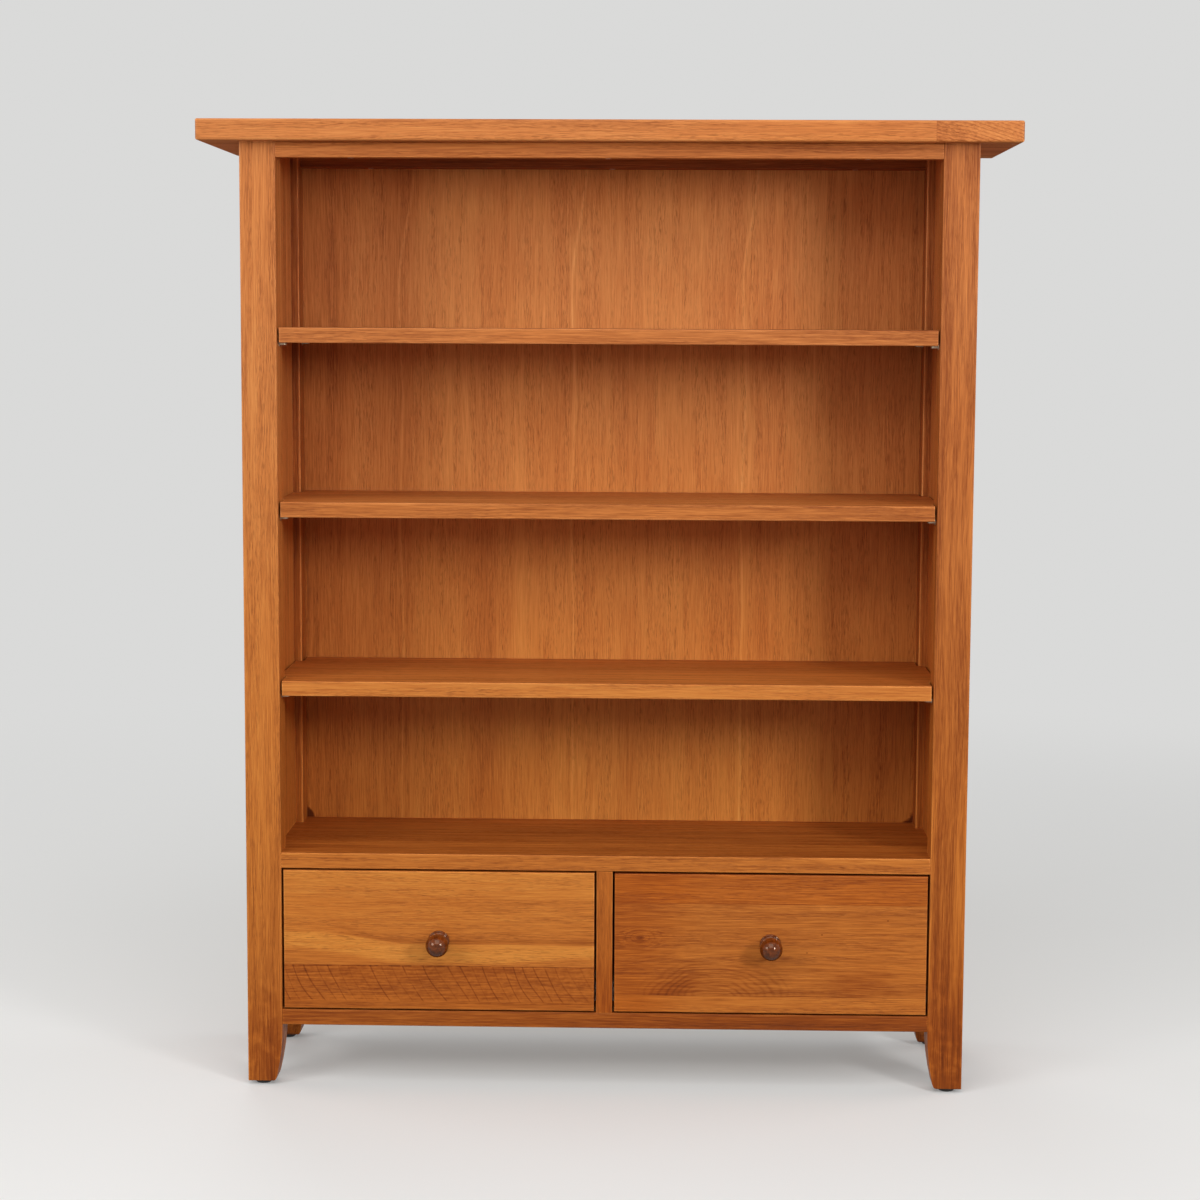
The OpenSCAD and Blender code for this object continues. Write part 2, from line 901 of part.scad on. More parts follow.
// The board at the front of the box, socketed for the dovetails of the sides
module drawer_box_front(bay) {
    color(oak_pale)
        placed()
            at_bay(bay)
                difference() {
                    block([-box_w / 2, box_y, box_z], [box_w / 2, box_y + box_t, box_z + box_h]);
                    for (side = [LEFT, RIGHT], z = tail_heights())
                        handed(side)
                            along_x(box_w / 2 - box_t, box_w / 2 + overrun) polygon(socket(z));
                    bottom_groove();
                    front_holes();
                }
}

// The side at the right of a box, or its mirror image
module drawer_side(bay, outer) {
    side = outer ? bay : -bay;
    reach = box_w / 2 - box_t + box_housing;
    color(oak_pale)
        placed()
            difference() {
                at_bay(bay)
                    difference() {
                        handed(side)
                            along_x(box_w / 2 - box_t, box_w / 2) polygon(side_outline());
                        bottom_groove();
                        block(
                            [-reach, back_y() - glue, box_z + box_groove_up],
                            [reach, back_y() + box_t + glue, box_z + box_h + overrun]
                        );
                    }
                at_runner(bay, outer)
                    at_member_screws() rod(small_screw_d + 2 * fit, sheet + drawer_screw_l + fit);
            }
}

// The front face of a box's back board
function back_y() = box_end - box_back_inset - box_t;

module drawer_back(bay) {
    reach = box_w / 2 - box_t + box_housing - glue;
    color(oak_pale)
        placed()
            at_bay(bay)
                block(
                    [-reach, back_y(), box_z + box_groove_up + drawer_bottom_t],
                    [reach, back_y() + box_t, box_z + box_h]
                );
}

module drawer_bottom(bay) {
    reach = box_w / 2 - box_t + box_groove - glue;
    color(ply)
        placed()
            at_bay(bay)
                block(
                    [-reach, box_y + box_t - box_groove + glue, box_z + box_groove_up],
                    [reach, back_y() + box_t, box_z + box_groove_up + drawer_bottom_t]
                );
}

// A turned knob: a ball on a neck, with a cove between the neck and a base with a round rim
module drawer_knob(bay) {
    ball = knob_l - knob_d / 2;
    rim = (knob_base_d - knob_base_t) / 2;
    cove = rim - knob_neck_d / 2;
    color(turned)
        placed()
            at_bay(bay)
                translate([0, 0, front_z + front_h / 2])
                    rotate([90, 0, 0])
                        difference() {
                            rotate_extrude($fn = fine)
                                intersection() {
                                    union() {
                                        square([knob_neck_d / 2, ball]);
                                        square([rim, knob_base_t]);
                                        translate([rim, knob_base_t / 2])
                                            circle(d = knob_base_t, $fn = fine);
                                        difference() {
                                            square([rim, knob_base_t + cove]);
                                            translate([rim, knob_base_t + cove])
                                                circle(r = cove, $fn = fine);
                                        }
                                        translate([0, ball]) circle(d = knob_d, $fn = fine);
                                    }
                                    square([knob_d, knob_l + overrun]);
                                }
                            translate([0, 0, -overrun])
                                rod(screw_d + 2 * fit, knob_screw_grip + end_gap + overrun);
                        }
}

module drawer_knob_screw(bay) {
    color(zinc)
        placed()
            at_bay(bay)
                at_knob() pan_screw(screw_d, screw_head_d, screw_head_h, box_t + front_t + knob_screw_grip);
}

module drawer_screws(bay) {
    color(zinc)
        placed() {
            at_bay(bay)
                at_front_screws() pan_screw(screw_d, screw_head_d, screw_head_h, box_t + front_screw_grip);
            for (outer = [true, false])
                at_runner(bay, outer)
                    at_member_screws()
                        pan_screw(small_screw_d, small_head_d, small_head_h, sheet + drawer_screw_l);
        }
}

top_panel();
front_post(LEFT);  // front_post_left
front_post(RIGHT);  // front_post_right
back_post(LEFT);  // back_post_left
back_post(RIGHT);  // back_post_right
side_panel(LEFT);  // side_panel_left
side_panel(RIGHT);  // side_panel_right
back_panel();
bottom_panel();
top_front_rail();
top_back_rail();
bottom_front_rail();
bottom_back_rail();
drawer_deck();
drawer_partition();
runner_batten(LEFT);  // runner_batten_left
runner_batten(RIGHT);  // runner_batten_right
shelf(upper_z);  // shelf_upper
shelf(middle_z);  // shelf_middle
shelf(lower_z);  // shelf_lower
shelf_pins();
glides();
top_screws();
back_screws();
cabinet_runner_screws();
cabinet_runner(LEFT, true);  // cabinet_runner_left_outer
cabinet_runner(LEFT, false);  // cabinet_runner_left_inner
cabinet_runner(RIGHT, false);  // cabinet_runner_right_inner
cabinet_runner(RIGHT, true);  // cabinet_runner_right_outer
cabinet_roller(LEFT, true);  // cabinet_roller_left_outer
cabinet_roller(LEFT, false);  // cabinet_roller_left_inner
cabinet_roller(RIGHT, false);  // cabinet_roller_right_inner
cabinet_roller(RIGHT, true);  // cabinet_roller_right_outer
drawer_front(LEFT);  // drawer_left_front
drawer_box_front(LEFT);  // drawer_left_box_front
drawer_side(LEFT, true);  // drawer_left_side_outer
drawer_side(LEFT, false);  // drawer_left_side_inner
drawer_back(LEFT);  // drawer_left_back
drawer_bottom(LEFT);  // drawer_left_bottom
drawer_knob(LEFT);  // drawer_left_knob
drawer_knob_screw(LEFT);  // drawer_left_knob_screw
drawer_screws(LEFT);  // drawer_left_screws
drawer_runner(LEFT, true);  // drawer_left_runner_outer
drawer_runner(LEFT, false);  // drawer_left_runner_inner
drawer_roller(LEFT, true);  // drawer_left_roller_outer
drawer_roller(LEFT, false);  // drawer_left_roller_inner
drawer_front(RIGHT);  // drawer_right_front
drawer_box_front(RIGHT);  // drawer_right_box_front
drawer_side(RIGHT, true);  // drawer_right_side_outer
drawer_side(RIGHT, false);  // drawer_right_side_inner
drawer_back(RIGHT);  // drawer_right_back
drawer_bottom(RIGHT);  // drawer_right_bottom
drawer_knob(RIGHT);  // drawer_right_knob
drawer_knob_screw(RIGHT);  // drawer_right_knob_screw
drawer_screws(RIGHT);  // drawer_right_screws
drawer_runner(RIGHT, true);  // drawer_right_runner_outer
drawer_runner(RIGHT, false);  // drawer_right_runner_inner
drawer_roller(RIGHT, true);  // drawer_right_roller_outer
drawer_roller(RIGHT, false);  // drawer_right_roller_inner
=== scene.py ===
# %% [markdown]
# # An oak bookcase with two drawers
#
# The bookcase is a solid oak case with three loose shelves and two drawers on roller runners. All its
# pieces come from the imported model, in metres, with the floor at z = 0 and the front towards -y. This
# lesson gives each piece the finish of the real one: stained and oiled oak, a veneered back, dark turned
# knobs and plain fittings.

# %% Load the frame
import math

import bmesh
import bpy
from mathutils import Matrix, Vector

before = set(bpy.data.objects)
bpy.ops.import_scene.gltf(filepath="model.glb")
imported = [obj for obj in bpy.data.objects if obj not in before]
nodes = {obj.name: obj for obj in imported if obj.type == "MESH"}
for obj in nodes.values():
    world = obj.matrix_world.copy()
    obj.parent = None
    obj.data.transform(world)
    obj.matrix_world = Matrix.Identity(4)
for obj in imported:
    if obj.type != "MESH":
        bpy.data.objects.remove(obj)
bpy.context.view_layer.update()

# %% [markdown]
# ## Where the camera stands
#
# The real picture was taken from about three metres, at the height of the upper shelf, looking slightly
# down. A constraint could aim the camera, but would lose its small roll, so three turns are multiplied.

# %% Camera
# The angles are in radians, the lens and the sensor in millimetres.
CAMERA_PLACE = (0.0739, -3.2386, 0.9603)
CAMERA_TURN = 0.0261
CAMERA_TILT = -0.1084
CAMERA_ROLL = -0.0049
CAMERA_LENS = 76.18
CAMERA_SENSOR = 36

turn = Matrix.Rotation(CAMERA_TURN, 3, "Z")
tilt = Matrix.Rotation(CAMERA_TILT, 3, "X")
roll = Matrix.Rotation(CAMERA_ROLL, 3, "Y")
level_camera = Matrix.Rotation(math.radians(90), 3, "X")
camera_data = bpy.data.cameras.new("camera")
camera_data.lens = CAMERA_LENS
camera_data.sensor_width = CAMERA_SENSOR
camera = bpy.data.objects.new("camera", camera_data)
bpy.context.collection.objects.link(camera)
camera.matrix_world = Matrix.Translation(CAMERA_PLACE) @ (turn @ tilt @ roll @ level_camera).to_4x4()
bpy.context.scene.camera = camera
print("camera:", CAMERA_PLACE, "lens:", CAMERA_LENS)

# %% [markdown]
# ## Colours, as a finisher names them
#
# A stain is chosen from a card of swatches, in the 0 to 255 numbers of a screen. Blender mixes
# light in linear numbers, so each swatch is converted once, here, by the usual curve of screens.


# %% Swatches
def swatch(red, green, blue):
    """A screen colour, 0 to 255 for each part, as Blender's linear colour."""
    linear = []
    for value in (red, green, blue):
        share = value / 255
        if share <= 0.04045:
            linear.append(share / 12.92)
        else:
            linear.append(((share + 0.055) / 1.055) ** 2.4)
    return (*linear, 1.0)


def swatches(*colours):
    """A row of screen colours, from the deepest to the palest."""
    return [swatch(*colour) for colour in colours]


print("mid oak:", [round(v, 3) for v in swatch(196, 116, 58)])

# %% [markdown]
# ## A bench for mixing finishes
#
# Every finish below is a tree of shader nodes. Wiring them one by one hides the idea, so a bench gives
# short calls for the steps that wood and metal need. It is built in three parts. The first does sums:
# each call takes numbers or the outputs of earlier calls, makes one node, and gives back its output.


# %% Sums
class Bench:
    """A node tree, with a short call for each kind of sum."""

    def __init__(self, tree):
        self.tree = tree
        self.tree.nodes.clear()

    def node(self, kind):
        """A new node of this kind."""
        return self.tree.nodes.new(kind)

    def plug(self, socket, value):
        """Links an earlier output into a socket, or writes a plain number or colour there."""
        if isinstance(value, bpy.types.NodeSocket):
            self.tree.links.new(value, socket)
        else:
            socket.default_value = value

    def calc(self, operation, first, second=0.0, third=0.0):
        """Arithmetic on one, two or three values."""
        node = self.node("ShaderNodeMath")
        node.operation = operation
        for socket, value in zip(node.inputs, (first, second, third)):
            self.plug(socket, value)
        return node.outputs[0]

    def add(self, *values):
        """The sum of several values."""
        total = values[0]
        for value in values[1:]:
            total = self.calc("ADD", total, value)
        return total

    def times(self, first, second):
        """The product of two values."""
        return self.calc("MULTIPLY", first, second)

    def distance(self, first, second):
        """The distance from zero of a point with these two coordinates."""
        return self.calc("SQRT", self.add(self.times(first, first), self.times(second, second)))

    def lift(self, level, share, amount):
        """The level, raised by this amount where share is 1. A negative amount lowers it."""
        return self.calc("MULTIPLY_ADD", share, amount, level)

    def waver(self, level, noise, amount):
        """The level, moved up and down by a noise around 0.5."""
        return self.lift(level, self.add(noise, -0.5), amount)

    def fade(self, value, low, high, start=0.0, end=1.0):
        """Goes smoothly from start to end while value goes from low to high."""
        node = self.node("ShaderNodeMapRange")
        node.interpolation_type = "SMOOTHSTEP"
        for socket, part in zip(node.inputs, (value, low, high, start, end)):
            self.plug(socket, part)
        return node.outputs[0]

    def near(self, value, at, reach):
        """1 where value is at, fading to 0 at reach away from it."""
        away = self.calc("ABSOLUTE", self.calc("SUBTRACT", value, at))
        return self.fade(away, 0.0, reach, 1.0, 0.0)

    def steps(self, value, edges, levels):
        """The level of the strip that value lies in: levels has one more entry than edges."""
        total = levels[0]
        for edge, before, after in zip(edges, levels, levels[1:]):
            total = self.lift(total, self.calc("GREATER_THAN", value, edge), after - before)
        return total


print("the bench does sums")

# %% [markdown]
# The second part knows where a point lies and makes patterns there. Noise is the seed of every natural
# pattern: stretched along an axis it gives streaks, and cut off at a level it gives spots. Which way the
# surface faces tells end grain and undersides apart, and a bevel node finds the edges, where wear and
# painted highlights go.


# %% Patterns
class Patterns(Bench):
    """Places, noise, and the way that a surface faces."""

    def __init__(self, tree):
        super().__init__(tree)
        self.place = self.node("ShaderNodeTexCoord").outputs["Object"]
        self.axis = self.apart(self.place)
        self.x, self.y, self.z = self.axis.values()

    def apart(self, vector):
        """The three parts of a vector, by the letter of the axis."""
        node = self.node("ShaderNodeSeparateXYZ")
        self.plug(node.inputs[0], vector)
        return dict(zip("xyz", node.outputs))

    def point(self, x, y, z):
        """Three values as one point."""
        node = self.node("ShaderNodeCombineXYZ")
        for socket, value in zip(node.inputs, (x, y, z)):
            self.plug(socket, value)
        return node.outputs[0]

    def stretched(self, *scales):
        """The place, scaled by its own number along x, y and z."""
        return self.point(*[self.times(self.axis[letter], scale) for letter, scale in zip("xyz", scales)])

    def noise(self, point, scale=1.0, detail=2.0, rough=0.5):
        """Smooth noise around 0.5."""
        node = self.node("ShaderNodeTexNoise")
        self.plug(node.inputs["Vector"], point)
        self.plug(node.inputs["Scale"], scale)
        self.plug(node.inputs["Detail"], detail)
        self.plug(node.inputs["Roughness"], rough)
        return node.outputs["Fac"]

    def mottle(self, sideways, upright, seed, detail=1.0):
        """Noise over the front of a piece, in waves per metre sideways and upright."""
        point = self.point(self.times(self.x, sideways), self.times(self.z, upright), seed)
        return self.noise(point, 1.0, detail)

    def chance(self, value):
        """A steady random number from 0 to 1 for each different value."""
        node = self.node("ShaderNodeTexWhiteNoise")
        node.noise_dimensions = "1D"
        self.plug(node.inputs["W"], value)
        return node.outputs["Value"]

    def facing(self):
        """How far the surface faces along x, y and z, from -1 to 1."""
        return self.apart(self.node("ShaderNodeTexCoord").outputs["Normal"])

    def faces(self, letter, way=0):
        """1 where the surface faces along this axis: way 1 or -1 for one side, 0 for both."""
        part = self.facing()[letter]
        part = self.times(part, way) if way else self.calc("ABSOLUTE", part)
        return self.fade(part, 0.6, 0.9)

    def arris(self, reach):
        """1 along the outer edges of a piece, fading to 0 at this reach from them."""
        soft = self.node("ShaderNodeBevel")
        soft.samples = 4
        soft.inputs["Radius"].default_value = reach
        flat = self.node("ShaderNodeNewGeometry")
        alike = self.node("ShaderNodeVectorMath")
        alike.operation = "DOT_PRODUCT"
        self.plug(alike.inputs[0], soft.outputs[0])
        self.plug(alike.inputs[1], flat.outputs["Normal"])
        return self.fade(alike.outputs["Value"], 0.995, 0.93)


print("the bench makes patterns")

# %% [markdown]
# The third part mixes colours and makes the surface. One shader serves for wood, metal and plastic alike,
# since they differ only in colour, roughness and gloss. Small relief, such as pores, is a bump in the
# shader: it is a fraction of a millimetre deep, and cut into the mesh it would cost millions of faces.


# %% Finishes
class Finish(Patterns):
    """One finish: a material with its colours and its surface."""

    def __init__(self, name):
        self.material = bpy.data.materials.new(name)
        self.material.use_nodes = True
        super().__init__(self.material.node_tree)
        self.out = self.node("ShaderNodeOutputMaterial")

    def blend(self, share, first, second, kind="MIX"):
        """A mix of two colours."""
        node = self.node("ShaderNodeMix")
        node.data_type = "RGBA"
        node.blend_type = kind
        self.plug(node.inputs[0], share)
        self.plug(node.inputs[6], first)
        self.plug(node.inputs[7], second)
        return node.outputs[2]

    def scale_of(self, value, places, colours):
        """A colour for each value, from colours at these places on a scale from 0 to 1."""
        node = self.node("ShaderNodeValToRGB")
        ramp = node.color_ramp
        while len(ramp.elements) < len(places):
            ramp.elements.new(1.0)
        for element, place, colour in zip(ramp.elements, places, colours):
            element.position = place
            element.color = colour
        self.plug(node.inputs[0], value)
        return node.outputs[0]

    def surface(self, **sockets):
        """The surface shader, with its sockets written or linked by name."""
        self.shader = self.node("ShaderNodeBsdfPrincipled")
        for name, value in sockets.items():
            self.plug(self.shader.inputs[name.replace("_", " ")], value)
        self.plug(self.out.inputs["Surface"], self.shader.outputs[0])

    def wired(self, name):
        """What is linked into a socket of the shader so far."""
        return self.shader.inputs[name].links[0].from_socket

    def relief(self, height, depth, strength=0.5):
        """Raises the surface by height times depth, in metres."""
        node = self.node("ShaderNodeBump")
        self.plug(node.inputs["Height"], height)
        self.plug(node.inputs["Distance"], depth)
        self.plug(node.inputs["Strength"], strength)
        self.plug(self.shader.inputs["Normal"], node.outputs[0])


def apply_finish(finish, *names):
    """Puts a finish on the named pieces of the model."""
    for name in names:
        for slot in nodes[name].material_slots:
            slot.material = finish.material
        if not nodes[name].material_slots:
            nodes[name].data.materials.append(finish.material)
    finished.update(names)


finished = set()
print("the bench makes finishes")

# %% [markdown]
# ## The room and the light
#
# A piece of furniture is photographed on a pale floor that runs out into a pale background, so that no
# line shows behind it. A curved sheet of paper does that in a studio, but it hides the object from
# behind. Here the floor is a wide disc that takes on the colour of the sky far from the object.

# %% The floor
FLOOR_REACH = 9.0
FLOOR_SIDES = 96

floor_mesh = bpy.data.meshes.new("floor")
work = bmesh.new()
rim = []
for step in range(FLOOR_SIDES):
    angle = math.radians(360) * step / FLOOR_SIDES
    rim.append(work.verts.new((FLOOR_REACH * math.cos(angle), FLOOR_REACH * math.sin(angle), 0.0)))
work.faces.new(rim)
work.to_mesh(floor_mesh)
work.free()
floor = bpy.data.objects.new("floor", floor_mesh)
bpy.context.collection.objects.link(floor)
print("floor corners:", len(floor_mesh.vertices))

# %% [markdown]
# The floor is painted pale and keeps the object's soft shadow. So that it also looks pale to the camera
# and in reflections, it glows a little for those rays only, and fully far away. That adds no light to the
# object. For light that bounces off it the floor counts as grey: the real piece stood on a brown floor in
# a dim room.

# %% Floor paint
FLOOR_PAINT = (0.70, 0.70, 0.69, 1.0)
FLOOR_BOUNCE = (0.25, 0.24, 0.22, 1.0)
FLOOR_GLOSS = 0.1
FLOOR_GLOW = 0.16
PALE_TINT = (1.0, 1.0, 0.99, 1.0)
PALE_LEVEL = 0.70
PAINT_UNTIL = 0.9
SKY_FROM = 3.3


def seen_directly(bench):
    """1 for the rays from the camera, gloss and glass, and 0 for those that carry light to other pieces."""
    rays = bench.node("ShaderNodeLightPath")
    seen = bench.calc("MAXIMUM", rays.outputs["Is Camera Ray"], rays.outputs["Is Glossy Ray"])
    return bench.calc("MAXIMUM", seen, rays.outputs["Is Transmission Ray"])


paint = Finish("floor_paint")
seen = seen_directly(paint)
diffuse_ray = paint.node("ShaderNodeLightPath").outputs["Is Diffuse Ray"]
paint.surface(
    Base_Color=paint.blend(diffuse_ray, FLOOR_PAINT, FLOOR_BOUNCE),
    Roughness=paint.fade(paint.noise(paint.place, 0.6, 1.0), 0.3, 0.7, 0.8, 0.9),
    Specular_IOR_Level=FLOOR_GLOSS,
    Emission_Color=PALE_TINT,
    Emission_Strength=paint.times(seen, FLOOR_GLOW),
)
away = paint.distance(paint.x, paint.y)
far_glow = paint.node("ShaderNodeEmission")
paint.plug(far_glow.inputs["Color"], PALE_TINT)
paint.plug(far_glow.inputs["Strength"], PALE_LEVEL)
near_and_far = paint.node("ShaderNodeMixShader")
paint.plug(near_and_far.inputs[0], paint.times(seen, paint.fade(away, PAINT_UNTIL, SKY_FROM)))
paint.plug(near_and_far.inputs[1], paint.shader.outputs[0])
paint.plug(near_and_far.inputs[2], far_glow.outputs[0])
paint.plug(paint.out.inputs["Surface"], near_and_far.outputs[0])
floor_mesh.materials.append(paint.material)
print("floor paint:", FLOOR_PAINT)

# %% [markdown]
# The sky is pale to the same rays. To the object it gives only a weak fill from all round: a bright sky
# would light the inside of the case as much as its front, and the shelves would lose their shadows.

# %% Sky of the studio
SKY_FILL = 0.25

world = bpy.data.worlds.new("studio")
bpy.context.scene.world = world
world.use_nodes = True
sky = Bench(world.node_tree)
sky_light = sky.node("ShaderNodeBackground")
sky_out = sky.node("ShaderNodeOutputWorld")
sky.plug(sky_light.inputs["Color"], PALE_TINT)
sky.plug(sky_light.inputs["Strength"], sky.fade(seen_directly(sky), 0.0, 1.0, SKY_FILL, PALE_LEVEL))
sky.plug(sky_out.inputs["Surface"], sky_light.outputs[0])
print("fill from all round:", SKY_FILL)

# %% [markdown]
# Light tents or lamps with umbrellas would do too. Softboxes are used here, because the knobs of the real
# piece show two highlights: a soft one at the left, and a small bright one at the right. Those two boxes
# stand low in front. A wide third one hangs high in front and throws the shelves' soft shadows on the
# back. One lights the rear, and a weak one on each side keeps the outsides of the case from going dark.

# %% Softboxes
LIGHT_AIM = Vector((0.0, 0.0, 0.6))
# name, place, side of the box in metres, power in watts
SOFTBOXES = (
    ("softbox_right", (1.9, -2.4, 1.40), 0.6, 33.0),
    ("softbox_left", (-2.25, -2.1, 1.50), 1.2, 26.5),
    ("softbox_top", (0.0, -1.95, 2.7), 2.4, 39.5),
    ("softbox_rear", (-0.9, 3.0, 2.2), 1.8, 24.0),
    ("softbox_side_left", (-3.0, 0.8, 1.6), 1.5, 14.0),
    ("softbox_side_right", (3.0, 0.8, 1.6), 1.5, 14.0),
)

for name, place, side, power in SOFTBOXES:
    lamp = bpy.data.lights.new(name, "AREA")
    lamp.shape = "SQUARE"
    lamp.size = side
    lamp.energy = power
    box = bpy.data.objects.new(name, lamp)
    bpy.context.collection.objects.link(box)
    box.location = place
    box.visible_camera = False
    box.rotation_euler = (LIGHT_AIM - Vector(place)).to_track_quat("-Z", "Y").to_euler()
    print(name, "at", place, power, "W")

bpy.context.scene.view_settings.view_transform = "Standard"

# %% [markdown]
# ## What oak looks like
#
# Stained oak has several layers of detail. Broad bands of lighter and darker wood follow the grain, and
# finer streaks run in them. Pores are short dark dashes. Where the end of a board shows, the growth rings
# are arcs and the stain has gone in deeper. Each board of a glued panel has a tone of its own. All of
# this is built from the point's place in the board, with the noise stretched along the grain.
#
# An image of wood would be quicker, but it repeats, and its grain stops at the edges.

# %% The grain of a board
# Each board takes its grain from another place of one long log, up to this many metres away.
LOG_LENGTH = 19.0
LOG_LEAN = 0.31
# waves per metre with which the grain wanders, along and across the board
WANDER_ALONG = 2.2
WANDER_ACROSS = 9.0
HEART_BELOW = 0.05
HEART_ASIDE = 0.08
RING_WIDTH = 0.0034


class Board:
    """The grain of a piece. lay names the axes along the grain, across the face and through the board."""

    def __init__(self, finish, lay, seed, joints=(), wander=0.008, skew=0.0, lot=0.0):
        self.finish = finish
        along, across, deep = (finish.axis[letter] for letter in lay)
        strip = finish.steps(across, joints, list(range(len(joints) + 1)))
        self.luck = finish.chance(finish.add(strip, lot, seed + 0.37))
        shift = finish.times(self.luck, LOG_LENGTH)
        lazy = finish.point(
            finish.lift(shift, along, WANDER_ALONG),
            finish.lift(seed, across, WANDER_ACROSS),
            finish.times(deep, WANDER_ACROSS),
        )
        self.drift = finish.times(finish.add(finish.noise(lazy, 1.0, 1.0), -0.5), 2 * wander)
        self.along = finish.add(along, shift)
        self.across = finish.add(across, self.drift, finish.times(shift, LOG_LEAN), skew)
        self.deep = finish.add(deep, finish.times(self.drift, 0.6), skew)
        self.deep_at = deep
        self.end = finish.faces(lay[0])

    def streaks(self, length, width, detail=2.0, rough=0.5):
        """Noise in streaks of this length and width, in metres."""
        finish = self.finish
        place = finish.point(
            finish.times(self.along, 1 / length),
            finish.times(self.across, 1 / width),
            finish.times(self.deep, 1 / width),
        )
        return finish.noise(place, 1.0, detail, rough)

    def end_rings(self):
        """Growth rings as they show at the end of a board, round a heart that lies below it."""
        finish = self.finish
        side = finish.add(self.across, finish.times(self.luck, HEART_ASIDE))
        down = finish.add(self.deep_at, HEART_BELOW, self.drift)
        radius = finish.distance(side, down)
        wave = finish.calc("FRACT", finish.times(radius, 1 / RING_WIDTH))
        return finish.fade(wave, 0.1, 0.9)


print("a board has bands, streaks, end rings and luck")

# %% [markdown]
# The stain is a scale of five colours, from the deepest to the palest, and the grain only says how far up
# the scale a point lies. Level 0 is the second colour and level 1 the fourth. The layers of grain are
# added up to that level. Oak also has a redder cast in soft patches. Towards the floor the colour turns
# yellower as painted light: the warm bounce from a brown floor.

# %% Stain and grain
OAK_STAIN = swatches((98, 44, 14), (154, 81, 34), (205, 124, 64), (228, 152, 84), (240, 178, 110))
STAIN_STOPS = (0.0, 0.25, 0.5, 0.75, 1.0)
RED_CAST = (0.93, 0.75, 0.44, 1.0)
RED_PATCHES = 5.0
# painted light: warmer and yellower towards the floor, for the bounce from a brown floor
PAINTED_BOUNCE_CAST = (1.0, 0.93, 0.56, 1.0)
PAINTED_BOUNCE_HEIGHTS = (1.05, 0.2)
# length and width of a streak in metres, then the detail and roughness of its noise
BROAD_BANDS = (1.2, 0.045)
LONG_STREAKS = (0.30, 0.009, 3.0)
FINE_FIBRES = (0.050, 0.0014, 2.0, 0.7)
PORE_DASHES = (0.012, 0.0007, 1.0)


def grain_level(board, medium, fine, tone, bands, streaks, fibre, luck):
    """The level of the stain, from the layers of the grain and the luck of the board."""
    oak = board.finish
    level = oak.waver(0.5 + tone, board.streaks(*BROAD_BANDS), 2 * bands)
    level = oak.waver(level, medium, 2 * streaks)
    level = oak.waver(level, fine, 2 * fibre)
    return oak.waver(level, board.luck, luck)


def stain_colour(oak, level, stain, red, flush):
    """The colour of the stain at this level, redder in patches by red, and by flush from the figure."""
    colour = oak.scale_of(oak.lift(0.25, level, 0.5), STAIN_STOPS, stain)
    patch = oak.noise(oak.place, RED_PATCHES, 2.0)
    redden = oak.add(oak.fade(patch, 0.35, 0.7, red - 0.12, red + 0.12), flush)
    return oak.blend(oak.calc("MAXIMUM", redden, 0.0), colour, RED_CAST, "MULTIPLY")


def no_figure(oak, board, level):
    """A plain board: the level as it is, and no added red."""
    return level, 0.0


print("stain:", len(OAK_STAIN), "colours")

# %% [markdown]
# The recipe for a piece puts these together and darkens the pores and the end grain. The edges are paler:
# partly rubbed by handling, partly a painted highlight where the rounded edges catch the light. The oiled
# surface is satin: pores, end grain and the undersides, which got less oil, are rougher, and the pores lie
# a little lower. A piece with a figure of its own passes a function that changes the level.

# %% Stained oak
PORE_STAIN = swatch(116, 49, 8)
END_CAST = (0.66, 0.58, 0.50, 1.0)
# paler edges: wear from handling and a painted highlight on the rounded edges
RUB_AND_HIGHLIGHT_CAST = (1.45, 1.75, 2.4, 1.0)
RUB_AND_HIGHLIGHT_REACH = 0.0028
OIL_GLOSS = 0.2
PORE_DEPTH = 0.00025


def stained_oak(
    name, lay, seed, joints=(), tone=0.0, red=0.0, bands=0.5, streaks=0.3, fibre=0.65, luck=0.14,
    figure=no_figure, skew=None, stain=OAK_STAIN, bounce_cast=PAINTED_BOUNCE_CAST, rough=0.4,
):
    """Stained oak for one piece or a set of like pieces."""
    oak = Finish(name)
    slant, lot = skew(oak) if skew else (0.0, 0.0)
    board = Board(oak, lay, seed, joints, skew=slant, lot=lot)
    medium = board.streaks(*LONG_STREAKS)
    fine = board.streaks(*FINE_FIBRES)
    level = grain_level(board, medium, fine, tone, bands, streaks, fibre, luck)
    level, flush = figure(oak, board, level)
    colour = stain_colour(oak, level, stain, red, flush)
    dashes = board.streaks(*PORE_DASHES)
    pores = oak.times(oak.fade(dashes, 0.52, 0.66), oak.fade(medium, 0.70, 0.30))
    colour = oak.blend(oak.times(pores, 0.5), colour, PORE_STAIN)
    # Painted light: yellower towards the floor, for the warm bounce from a brown floor.
    colour = oak.blend(oak.fade(oak.z, *PAINTED_BOUNCE_HEIGHTS), colour, bounce_cast, "MULTIPLY")
    ends = oak.times(board.end, oak.fade(board.end_rings(), 0.0, 1.0, 0.55, 1.0))
    colour = oak.blend(ends, colour, END_CAST, "MULTIPLY")
    # Paler edges: partly rubbed wear, partly a painted highlight.
    rubbed_and_highlit = oak.times(oak.arris(RUB_AND_HIGHLIGHT_REACH), oak.fade(medium, 0.4, 0.62, 0.4, 1.0))
    colour = oak.blend(rubbed_and_highlit, colour, RUB_AND_HIGHLIGHT_CAST, "MULTIPLY")
    dry = oak.calc("MAXIMUM", oak.times(board.end, 0.15), oak.times(oak.faces("z", -1), 0.4))
    shine = oak.add(rough, oak.times(pores, 0.25), oak.times(fine, 0.12), dry)
    oak.surface(Base_Color=colour, Roughness=shine, Specular_IOR_Level=OIL_GLOSS)
    oak.relief(oak.add(oak.times(pores, -1.0), oak.times(fine, 0.45)), PORE_DEPTH)
    return oak


